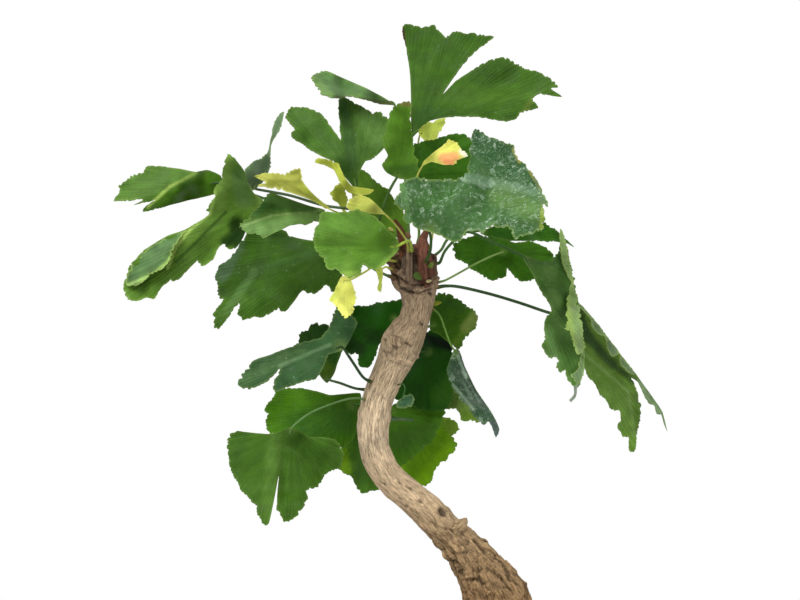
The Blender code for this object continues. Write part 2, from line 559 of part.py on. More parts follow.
def edge_distance(point, outline):
    nearest = 1e9
    p = Vector(point)
    for a, b in zip(outline, outline[1:] + outline[:1]):
        a, b = Vector(a), Vector(b)
        t = max(0.0, min(1.0, (p - a).dot(b - a) / (b - a).length_squared))
        nearest = min(nearest, (p - a.lerp(b, t)).length)
    return nearest


def spread(x, y, depth):
    """A point of a leaf, set out in depth as far as real leaves are."""
    return at(x, y, depth * SPREAD)


def depth_at(point, base, form):
    """Depth of a blade at a picture point, blended from the points that set it."""
    total, weight = 0.0, 0.0
    for x, y, d in [(base[0], base[1], 0.0)] + form:
        w = ((point[0] - x) ** 2 + (point[1] - y) ** 2 + SOFTENING) ** FALL_OFF
        total += w * d
        weight += w
    away = math.hypot(point[0] - base[0], point[1] - base[1])
    turn = math.atan2(point[1] - base[1], point[0] - base[0])
    pleat = PLEAT_DEPTH * math.sin(PLEATS * turn) * min(1.0, away / PLEAT_REACH) ** 1.5
    return base[2] + total / weight + pleat


def blade(name, base, outline, form):
    """A thin solid fan over its outline, with its two faces split alike."""
    flat = [Vector(p) for p in outline]
    count = len(flat)
    rows = range(-GRID_ROWS, GRID_ROWS)
    for i in rows:
        for k in rows:
            spot = (base[0] + (k + (i % 2) / 2) * GRID, base[1] + i * GRID * ROW_STEP)
            if inside(spot, outline) and edge_distance(spot, outline) > GRID * GRID_MARGIN:
                flat.append(Vector(spot))
    edges = [(i, (i + 1) % count) for i in range(count)]
    spots, _, cells, _, _, _ = delaunay_2d_cdt(flat, edges, [], 1, 1e-4)
    middle = [spread(p[0], p[1], depth_at(p, base, form)) for p in spots]
    return slab(name, middle, [tuple(c) for c in cells], BLADE)


def slab(name, middle, cells, thick):
    normals = [Vector() for _ in middle]
    for a, b, c in cells:
        turn = (middle[b] - middle[a]).cross(middle[c] - middle[a])
        for i in (a, b, c):
            normals[i] += turn
    points = [p + n.normalized() * thick / 2 for p, n in zip(middle, normals)]
    points += [p - n.normalized() * thick / 2 for p, n in zip(middle, normals)]
    size = len(middle)
    faces = [tuple(c) for c in cells] + [tuple(i + size for i in reversed(c)) for c in cells]
    used = {(c[i], c[(i + 1) % 3]) for c in cells for i in range(3)}
    for a, b in sorted(used):
        if (b, a) not in used:
            faces.append((b, a, a + size))
            faces.append((b, a + size, b + size))
    return closed_object(name, points, faces)


def leaf(name, base, foot, stalk, blades, yellow=False):
    pieces = [blade(f"{name}_{i}", base, outline, form)
              for i, (outline, form) in enumerate(blades)]
    outline, form = blades[0]
    centre = Vector((sum(p[0] for p in outline), sum(p[1] for p in outline))) / len(outline)
    inner = Vector(base[:2]).lerp(centre, STALK_ROOT)
    path = [spread(inner.x, inner.y, depth_at(inner, base, form)), spread(*base)]
    path += [spread(*p) for p in stalk]
    radius = YELLOW_RADIUS if yellow else STALK_RADIUS
    path.append(foot_of(path[-1], at(*foot), radius))
    path = smooth(path, 2)
    radii = [radius * k for k in STALK_TAPER] + [radius] * (len(path) - len(STALK_TAPER))
    stem = tube(name + "_stalk", path, radii, STALK_SIDES)
    obj = joined(pieces[0], pieces[1:] + [stem])
    obj.name = name
    paint(obj, YELLOW if yellow else GREEN)
    return obj


def paint(obj, colour, rough=0.6):
    material = bpy.data.materials.new(obj.name)
    material.use_nodes = True
    shader = material.node_tree.nodes["Principled BSDF"]
    shader.inputs["Base Color"].default_value = colour
    shader.inputs["Roughness"].default_value = rough
    obj.data.materials.clear()
    obj.data.materials.append(material)


def ringed(name, rings, sides, jitter=0.0):
    """A solid of stacked oval rings in mm, closed at each end."""
    draw = random.Random(7)
    points = []
    for a, b, z in rings:
        for k in range(sides):
            angle = 2 * math.pi * k / sides
            high = z + (draw.uniform(-jitter, jitter) if z > ROUGH_ABOVE else 0)
            points.append(Vector((a * math.cos(angle), b * math.sin(angle), high)) * MM)
    faces = []
    for i in range(len(rings) - 1):
        for k in range(sides):
            a, b = i * sides + k, i * sides + (k + 1) % sides
            faces.append((a, b, b + sides))
            faces.append((a, b + sides, a + sides))
    faces.append(tuple(range(sides))[::-1])
    last = (len(rings) - 1) * sides
    points.append(Vector((0, 0, rings[-1][2])) * MM)
    for k in range(sides):
        faces.append((last + k, last + (k + 1) % sides, len(points) - 1))
    return closed_object(name, points, faces)


def trunk_body(name, grow):
    """The trunk as a round bar whose width follows its two edges."""
    chain = domed(trunk_chain()[::-1])
    return tube(name, [p for p, _ in chain], [r + grow for _, r in chain], TRUNK_SIDES)


def trunk():
    body = trunk_body("trunk", 0)
    limbs = []
    for name, points in LIMBS.items():
        chain = domed(limb_chain(points))
        limbs.append(tube(name, [p for p, _ in chain], [r for _, r in chain], LIMB_SIDES))
    joined(body, limbs)
    paint(body, BARK, 0.85)
    return body


def pot():
    obj = ringed("pot", POT_RINGS, POT_SIDES)
    paint(obj, CLAY, 0.5)


def soil():
    obj = ringed("soil", SOIL_RINGS, POT_SIDES, 0.5)
    cutter = trunk_body("socket", SOCKET_GAP)
    foot, radius = trunk_chain()[-1]
    deep = tube("deep", [foot + Vector((0, 0, SOCKET_RISE)), foot - Vector((0, 0, SOCKET_DEPTH))],
                [radius + SOCKET_GAP] * 2, TRUNK_SIDES)
    joined(cutter, [deep])
    step = obj.modifiers.new("socket", "BOOLEAN")
    step.operation = "DIFFERENCE"
    step.solver = "MANIFOLD"
    step.object = cutter
    settle(obj)
    bpy.data.objects.remove(cutter)
    paint(obj, EARTH, 0.95)


def main():
    for obj in list(bpy.data.objects):
        bpy.data.objects.remove(obj)
    pot()
    soil()
    trunk()
    for name, spec in LEAVES.items():
        leaf(name, **spec)


main()
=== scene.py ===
import math
import random
from collections import namedtuple

import bmesh
import bpy
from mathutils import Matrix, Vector, noise
from mathutils.geometry import delaunay_2d_cdt
from mathutils.kdtree import KDTree


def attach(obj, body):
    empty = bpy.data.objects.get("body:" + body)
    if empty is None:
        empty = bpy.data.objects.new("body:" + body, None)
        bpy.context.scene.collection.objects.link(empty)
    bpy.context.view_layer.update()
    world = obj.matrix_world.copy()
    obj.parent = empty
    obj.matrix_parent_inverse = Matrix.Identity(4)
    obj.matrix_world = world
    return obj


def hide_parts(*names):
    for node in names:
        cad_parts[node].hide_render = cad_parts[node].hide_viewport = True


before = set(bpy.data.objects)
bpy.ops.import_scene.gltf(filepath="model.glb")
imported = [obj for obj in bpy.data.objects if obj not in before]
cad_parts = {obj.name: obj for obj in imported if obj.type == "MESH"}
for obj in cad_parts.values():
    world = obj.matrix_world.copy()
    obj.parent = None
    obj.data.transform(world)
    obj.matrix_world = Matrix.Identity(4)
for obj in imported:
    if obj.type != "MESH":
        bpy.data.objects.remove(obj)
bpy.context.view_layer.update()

MM = 0.001
# Metres to one picture unit at the trunk's depth, and the middle of the level front view.
UNIT = 0.0005
VIEW_DISTANCE = 0.944
MIDDLE_ACROSS = 400
MIDDLE_DOWN = 300
MIDDLE_X = -0.035
MIDDLE_Z = 0.240

# How a leaf's depths are blended, and its broad folds.
SPREAD = 1.7
SOFTENING = 36
FALL_OFF = -1.6
PLEATS = 9
PLEAT_DEPTH = 0.5
PLEAT_REACH = 90

LEAF_THICK = 0.5 * MM
# Spacing of a leaf's points, over it and along its edge, in picture units.
STEP = 1.4
ROW_STEP = 0.87 * STEP
EDGE_STEP = 1.1
EDGE_CLEARANCE = 0.6 * STEP
EDGE_ROUNDING = 0.6
# Radians to a picture unit of the sines of a leaf's scallops and wider lobes, and tooth depths in
# picture units.
SCALLOP_TURN = 0.36
LOBE_TURN = 0.17
SCALLOP_DEPTH = 1.9
NICK_DEPTH = 1.5
SWELL_DEPTH = 1.3
# Blades narrower than this have smaller teeth.
TOOTHED_WIDTH = 11
# How far a second blade lies behind the first one, in mm.
LIFT = 0.3
# Picture units to one unit of a leaf's material along its veins, and how worn a leaf's back is
# beside its front.
VEIN_REACH = 120
BACK_WEAR = 0.2
# Radians of the veins' sine to a radian round the leaf, and how far it wanders.
VEINS = 210.0
VEIN_WANDER = 20.0
# Edges sharper than this stay sharp, in degrees.
BLADE_SHARP = 62
POT_SHARP = 40
SOIL_SHARP = 50

# A stalk starts this share of the way from the blade's base to its middle.
STALK_ROOT = 0.16
STALK_RADIUS = 1.0 * MM
YELLOW_RADIUS = 0.7 * MM
STALK_SIDES = 12
STALK_STEPS = 7
STALK_SUNK = 1.2 * MM
FOOT_GAP = 0.28 * MM
# The spotted leaf's stalk lies behind its blade, in mm.
SPOTTED_BEHIND = 0.5
# A stalk turns brown over its last part.
BROWN_SHARE = 0.07

# The pot from its foot up the outside, over the rim and down the inside: half sizes and height.
POT_RINGS = [
    (62, 44, 0), (62, 44, 5), (70, 51, 8), (83, 63, 34), (85, 65, 50), (91, 71, 53),
    (91, 71, 61), (89, 69, 62.5), (84, 64, 62.5), (82, 62, 60), (79, 59, 34), (66, 47, 12),
]
POT_SIDES = 144
# The soil's side, and its top: how far the top rises toward the middle, in mm.
SOIL_RINGS = [(65.4, 46.4, 12.4), (78.5, 58.5, 34), (81.0, 61.0, 55)]
SOIL_RISE = 4.6
SOIL_MIDDLE = 60.0
SOIL_SIDES = 150
SOIL_ROWS = 60
# Loose grains: how many, how far out as a share, their sizes and how far they are raised, in mm.
GRAINS = 620
GRAIN_REACH = 0.96
GRAIN_SIZES = (0.6, 1.9)
GRAIN_RAISED = 0.5

# Left and right edge of the trunk at heights in the picture.
TRUNK_EDGES = [
    ((393, 263), (437, 268)), ((390, 271), (438, 281)),
    ((399, 283), (436, 293)), ((402, 296), (434, 306)), ((401, 308), (431, 316)),
    ((397, 319), (429, 326)), ((387, 331), (426, 337)), ((381, 342), (421, 349)),
    ((378, 353), (415, 361)), ((374, 366), (407, 373)), ((367, 382), (399, 390)),
    ((362, 397), (393, 404)), ((358, 415), (390, 418)), ((357, 432), (389, 432)),
    ((359, 450), (390, 446)), ((364, 466), (394, 456)), ((372, 480), (400, 467)),
    ((384, 494), (411, 477)), ((399, 507), (424, 487)), ((416, 524), (438, 498)),
    ((431, 541), (455, 515)), ((443, 557), (475, 532)), ((453, 575), (494, 549)),
    ((459, 592), (514, 570)), ((461, 606), (530, 590)),
]
# The trunk below the picture (across, down, depth, radius in mm), and depths of its middle.
TRUNK_BASE = [(501, 620, 5, 18.5), (507, 640, 4.5, 21), (512, 658, 4, 25), (513, 672, 4, 27)]
TRUNK_SWAY = [(250, 0), (330, 2), (430, -5), (500, -3), (560, 2), (610, 5)]
# The rounded end of a limb: how far out and how wide, in radii.
DOME = ((0.5, 0.84), (0.8, 0.56), (0.94, 0.28), (0.98, 0.06))

# Each limb of wood is a chain of (across, down, depth, radius in mm).
LIMBS = {
    "crown": [(408, 268, 1, 8.0), (402, 262, 1, 6.5)],
    "branch": [(404, 266, 0, 5.0), (388, 249, -1, 4.2), (374, 231, -2, 3.6), (362, 215, -2, 3.2),
               (354, 204, -2, 2.8)],
    "shoot": [(425, 284, -6, 3.0), (425, 268, -9, 3.8), (424, 252, -8, 3.6), (423, 240, -6, 2.4),
              (427, 230, -5, 1.4)],
    "stub": [(411, 286, -8, 2.8), (411, 270, -9.5, 3.0), (410, 251, -8, 2.4)],
    "bud": [(404, 252, -4, 2.6), (402, 240, -5, 2.4), (400, 230, -5, 2.0), (395, 220, -5, 0.8)],
    "knot": [(393, 330, -1, 3.4), (390, 341, -3, 4.8), (392, 350, -4, 4.2), (394, 358, -4, 3.0)],
    "cut_stalk": [(386, 419, -2, 1.6), (400, 419, -3, 1.1), (413, 420, -4, 0.9)],
    "burr": [(455, 530, -4, 5.0), (461, 525, -5, 3.6)],
}
TRUNK_VOXEL = 0.575 * MM
TRUNK_SIDES = 48
LIMB_SIDES = 24
# Rings of the wood that are tried as the nearest one to a point.
RINGS_TRIED = 14
# The bark turns coarse over this many picture units from this place down.
ROUGH_DOWN = 510
ROUGH_BLEND = 40
# How much lower the bark's middle height is than the plain wood, in mm.
BARK_SUNK = 0.15

# Marks on the front of the wood: both ends, width, height in mm, how dark (below 0: pale). The darkness
# is painted shade in most sunken marks, and the paleness a painted highlight on most raised ones.
MARKS = [
    (384, 339, 385, 340, 1.6, -0.8, 0.9), (389, 346, 396, 343, 1.1, 0.6, -0.2),
    (396, 343, 400, 349, 1.1, 0.6, -0.2), (391, 349, 398, 353, 1.1, 0.6, -0.2),
    (392, 344, 394, 348, 1.3, -0.7, 0.7), (396, 346, 397, 350, 1.3, -0.7, 0.7),
    (404, 340, 410, 342, 1.1, 0.6, -0.2), (410, 342, 415, 348, 1.1, 0.6, -0.2),
    (406, 346, 412, 350, 1.1, 0.6, -0.2), (406, 343, 411, 346, 1.4, -0.8, 0.8),
    (386, 334, 394, 338, 1.1, 0.4, -0.2), (388, 352, 396, 357, 1.2, -0.4, 0.5),
    (393, 358, 402, 359, 1.2, 0.5, -0.5), (402, 359, 412, 363, 1.2, 0.6, -0.6),
    (392, 362, 410, 367, 1.1, -0.5, 0.5), (412, 350, 417, 355, 1.2, -0.5, 0.5),
    (417, 357, 419, 357, 1.6, 0.9, -0.4), (422, 324, 423, 325, 1.3, -0.6, 0.9),
    (405, 331, 396, 337, 1.2, 0.3, -0.2), (384, 350, 386, 356, 1.4, -0.4, 0.4),
    (362, 413, 363, 413, 4, 1.2, 0.0), (391, 417, 392, 418, 4, 0.6, 0.1),
    (442, 510, 444, 513, 3.6, -2.1, 1.4), (437, 506, 436, 512, 2.5, 0.6, 0.0),
    (448, 507, 449, 512, 2.5, 0.6, 0.0), (399, 482, 400, 483, 1.8, -0.7, 0.7),
    (384, 484, 385, 485, 1.6, -0.7, 0.7), (411, 488, 412, 489, 2.0, -0.8, 0.8),
    (420, 501, 421, 502, 2.2, -1.0, 0.9), (406, 506, 407, 507, 1.8, -0.7, 0.8),
    (384, 398, 385, 399, 1.4, -0.5, 0.6), (420, 526, 424, 529, 2.0, 0.5, -0.4),
    (428, 532, 430, 534, 1.6, 0.6, -0.6), (438, 534, 440, 536, 1.6, 0.5, -0.6),
    (432, 523, 446, 530, 1.8, -0.6, 0.5), (446, 528, 454, 532, 1.8, -0.6, 0.5),
    (462, 533, 470, 541, 1.5, -0.6, 0.5), (464, 536, 472, 540, 2.0, 0.7, -0.3),
    (466, 519, 471, 523, 2.6, 1.5, 0.0), (476, 540, 485, 549, 2.2, -1.9, 1.0),
    (484, 537, 489, 548, 2.0, 1.2, 0.1), (474, 543, 481, 551, 1.6, 0.7, -0.3),
    (450, 545, 458, 553, 2.0, 0.8, -0.4), (455, 553, 458, 562, 1.6, 0.6, -0.2),
    (446, 560, 457, 564, 2.0, -0.7, 0.4), (462, 563, 468, 576, 2.2, 0.7, -0.3),
    (464, 578, 474, 577, 1.6, 0.6, -0.5), (463, 581, 477, 580, 1.7, -0.8, 0.4),
    (474, 563, 476, 575, 1.8, 0.7, -0.3), (478, 568, 480, 582, 1.5, -0.7, 0.5),
    (482, 556, 487, 580, 2.0, 0.6, -0.2), (490, 568, 498, 574, 1.6, -0.9, 0.7),
    (496, 562, 508, 574, 1.8, 0.7, -0.3), (500, 575, 512, 590, 1.6, -0.8, 0.6),
    (491, 550, 496, 553, 1.8, 1.2, 0.0), (521, 581, 525, 584, 2.2, 1.5, 0.3),
    (432, 556, 440, 568, 2.0, 0.6, 0.0), (486, 586, 500, 597, 1.8, 0.7, -0.2),
    (399, 262, 401, 266, 2.4, -1.6, 1.0), (390, 257, 398, 254, 1.6, 1.0, -0.5),
    (398, 254, 404, 258, 1.4, 0.9, -0.4), (388, 262, 390, 268, 1.6, 0.9, -0.5),
    (390, 268, 397, 273, 1.6, 1.0, -0.6), (397, 273, 403, 270, 1.4, 0.9, -0.5),
    (393, 261, 395, 266, 1.5, -0.9, 0.9), (395, 266, 399, 269, 1.4, -0.8, 0.8),
    (391, 274, 398, 277, 1.6, -0.9, 0.8), (392, 250, 402, 248, 3.0, -1.2, 1.0),
    (404, 252, 404, 274, 2.0, -1.4, 1.2), (407, 252, 406, 276, 1.2, 0.5, -0.2),
    (410, 253, 409, 278, 1.1, -0.5, 0.6), (412, 252, 412, 277, 1.2, 0.5, -0.2),
    (415.5, 250, 415, 276, 2.7, -2.0, 1.3), (429, 252, 430, 284, 1.8, -1.6, 1.0),
    (434, 256, 435, 286, 2.0, 0.9, -0.2), (421, 241, 426, 246, 3.0, 0.8, 0.0),
    (418, 252, 417, 268, 1.4, 0.5, -0.1), (423, 258, 422, 270, 1.4, -0.5, 0.5),
    (416, 280, 428, 283, 2.4, -1.4, 1.0), (400, 279, 408, 284, 1.3, -0.9, 0.9),
    (401, 284, 410, 288, 1.5, 0.9, -0.3), (400, 289, 409, 293, 1.2, -0.8, 0.8),
    (410, 288, 420, 290, 1.4, 0.8, -0.3), (411, 285, 422, 286, 1.2, -0.9, 0.9),
    (420, 290, 430, 285, 1.4, 0.8, -0.3), (422, 286, 431, 280, 1.2, -0.9, 0.9),
    (430, 285, 436, 277, 1.4, 0.8, -0.2), (408, 291, 418, 294, 1.2, -0.6, 0.6),
    (420, 293, 431, 289, 1.2, -0.6, 0.6), (404, 288, 405, 289, 1.8, -0.9, 0.9),
    (411, 292, 412, 293, 1.4, -0.7, 0.9), (430, 293, 431, 294, 1.5, -0.7, 0.9),
    (396, 279, 400, 286, 1.6, -0.6, 0.6),
]
# Marks above this place on the wood, in the crown, stand out this much more.
CROWN_DOWN = 296
CROWN_MARKS = 1.5
# Marks further than this from a place aren't looked at.
MARK_REACH = 40
# Raised or cut rings round the trunk: down, half width, height in mm.
RINGS = [(291, 2.2, 0.25), (304, 2.4, -0.2), (327, 2.0, -0.2), (352, 3.2, 0.3), (398, 2.4, 0.12),
         (424, 2.8, 0.2), (463, 2.4, 0.12), (498, 2.6, 0.2), (531, 3.2, 0.3)]
# Small green leaflets and chips held close to the crown: across, down, half sizes, turn, colour.
CHIPS = [
    (418, 276.5, 5.0, 3.4, 0.75, (78, 104, 40)), (431, 265, 3.6, 2.6, -0.9, (110, 134, 52)),
    (429, 281, 3.2, 1.6, -0.2, (196, 180, 130)), (437, 303, 5.0, 2.4, -0.15, (150, 160, 50)),
    (408, 236, 3.4, 3.2, 0.5, (150, 116, 84)), (391.5, 229.5, 3.6, 1.6, 0.5, (206, 208, 110)),
]
# The chips' gap off the wood, and the depths between which they are looked for, in mm.
CHIP_GAP = 0.2 * MM
CHIP_DEPTHS = (-30.0, 5.0)
# Bark colours as screen values: of the trunk at heights in the picture, and of limbs that differ.
# The pale tan down the trunk's bend is partly a painted highlight where the bend faces the light.
TRUNK_TONES = [
    (250, (104, 82, 62)), (275, (132, 108, 84)), (292, (186, 160, 130)), (345, (204, 178, 144)),
    (400, (234, 208, 172)), (440, (240, 214, 178)), (505, (226, 196, 156)), (545, (194, 162, 120)),
    (620, (170, 136, 94)),
]
LIMB_TONES = {
    "crown": (116, 90, 62), "branch": (120, 96, 72), "shoot": (126, 80, 64), "stub": (136, 114, 94),
    "bud": (104, 62, 38), "cut_stalk": (92, 128, 82),
}
# Limbs with smoother bark, and how much of its height and painted shade they keep.
SMOOTH_LIMBS = ("shoot", "bud", "cut_stalk", "stub")
SMOOTH_HEIGHT = 0.4
SMOOTH_SHADE = 0.7

# Each leaf's blades: colour of the face toward the front and of the other face as screen values,
# how specked the front is, and how pale its rim is. The front colours hold painted light and shade:
# leaves in shade are painted darker and backlit ones brighter, and the bluish fronts of crown_spotted,
# mid_left and right_hanging are a painted reflection of the sky. The pale rim is partly a painted
# highlight along the edge.
TINTS = {
    "top_right": [((57, 93, 22), (112, 145, 86), 0.12, 0.15)],
    "top_left": [((86, 122, 63), (105, 138, 84), 0.15, 0.35)],
    "crown_folded": [((78, 121, 28), (105, 138, 80), 0.05, 0.15), ((51, 97, 8), (80, 115, 60), 0.0, 0.1)],
    "crown_spotted": [((60, 98, 48), (105, 138, 90), 1.0, 0.5)],
    "right_dark": [((54, 102, 6), (76, 112, 45), 0.0, 0.15)],
    "right_back": [((46, 95, 11), (80, 118, 52), 0.0, 0.1)],
    "drooping_inner": [
        ((74, 113, 46), (130, 158, 104), 0.35, 0.2), ((132, 162, 96), (76, 112, 50), 0.15, 0.6),
        ((112, 142, 92), (76, 112, 50), 0.1, 0.5)],
    "drooping_outer": [
        ((90, 124, 44), (130, 156, 104), 0.15, 0.15), ((101, 127, 87), (76, 108, 50), 0.1, 0.5)],
    "far_left": [((83, 118, 46), (102, 134, 76), 0.08, 0.3)],
    "left_long": [((92, 133, 42), (110, 148, 82), 0.1, 0.4), ((84, 118, 65), (66, 104, 40), 0.15, 0.7)],
    "left_upper": [((76, 111, 42), (104, 136, 78), 0.12, 0.3)],
    "left_lower": [((57, 94, 20), (98, 130, 70), 0.2, 0.15)],
    "centre_front": [((88, 130, 42), (110, 142, 80), 0.2, 0.35)],
    "upper_left": [((73, 110, 38), (100, 132, 72), 0.15, 0.2)],
    "left_edge_on": [((98, 124, 88), (72, 106, 50), 0.1, 0.2)],
    "centre_behind": [((90, 132, 32), (98, 130, 62), 0.05, 0.1)],
    "mid_left": [((55, 89, 49), (98, 130, 84), 0.35, 0.2)],
    "mid_behind": [((31, 90, 0), (80, 112, 48), 0.05, 0.1)],
    "mid_hanging": [((40, 78, 20), (80, 112, 52), 0.1, 0.1)],
    "low_broad": [((62, 110, 4), (90, 126, 52), 0.15, 0.15)],
    "low_hanging": [((62, 99, 24), (98, 130, 70), 0.1, 0.15)],
    "low_under_trunk": [((78, 126, 33), (96, 130, 66), 0.05, 0.1)],
    "low_fan": [((119, 171, 11), (120, 155, 55), 0.05, 0.1)],
    "low_dark": [((76, 128, 24), (76, 110, 45), 0.25, 0.1)],
    "right_upper": [((57, 100, 10), (90, 122, 54), 0.12, 0.15)],
    "right_hanging": [((52, 82, 54), (98, 130, 88), 0.9, 0.12)],
    "right_shaded": [((27, 76, 3), (76, 112, 45), 0.05, 0.05)],
    "right_pale": [((112, 144, 60), (112, 146, 66), 0.0, 0.3)],
    "by_trunk": [((66, 104, 72), (98, 130, 78), 0.1, 0.4)],
    "yellow_top": [((178, 196, 78), (155, 170, 64), 0.0, 0.3)],
    "yellow_orange": [((206, 206, 98), (190, 185, 80), 0.0, 0.3)],
    "yellow_left": [((136, 141, 53), (160, 168, 68), 0.0, 0.5)],
    "yellow_twisted": [((172, 184, 64), (150, 162, 62), 0.0, 0.3)],
    "yellow_centre": [((180, 186, 84), (150, 165, 64), 0.0, 0.3)],
    "yellow_small": [((172, 186, 62), (145, 160, 62), 0.0, 0.3)],
    "yellow_hanging": [((252, 255, 126), (200, 215, 84), 0.0, 0.2)],
    "yellow_tiny": [((186, 206, 84), (155, 175, 72), 0.0, 0.3)],
}

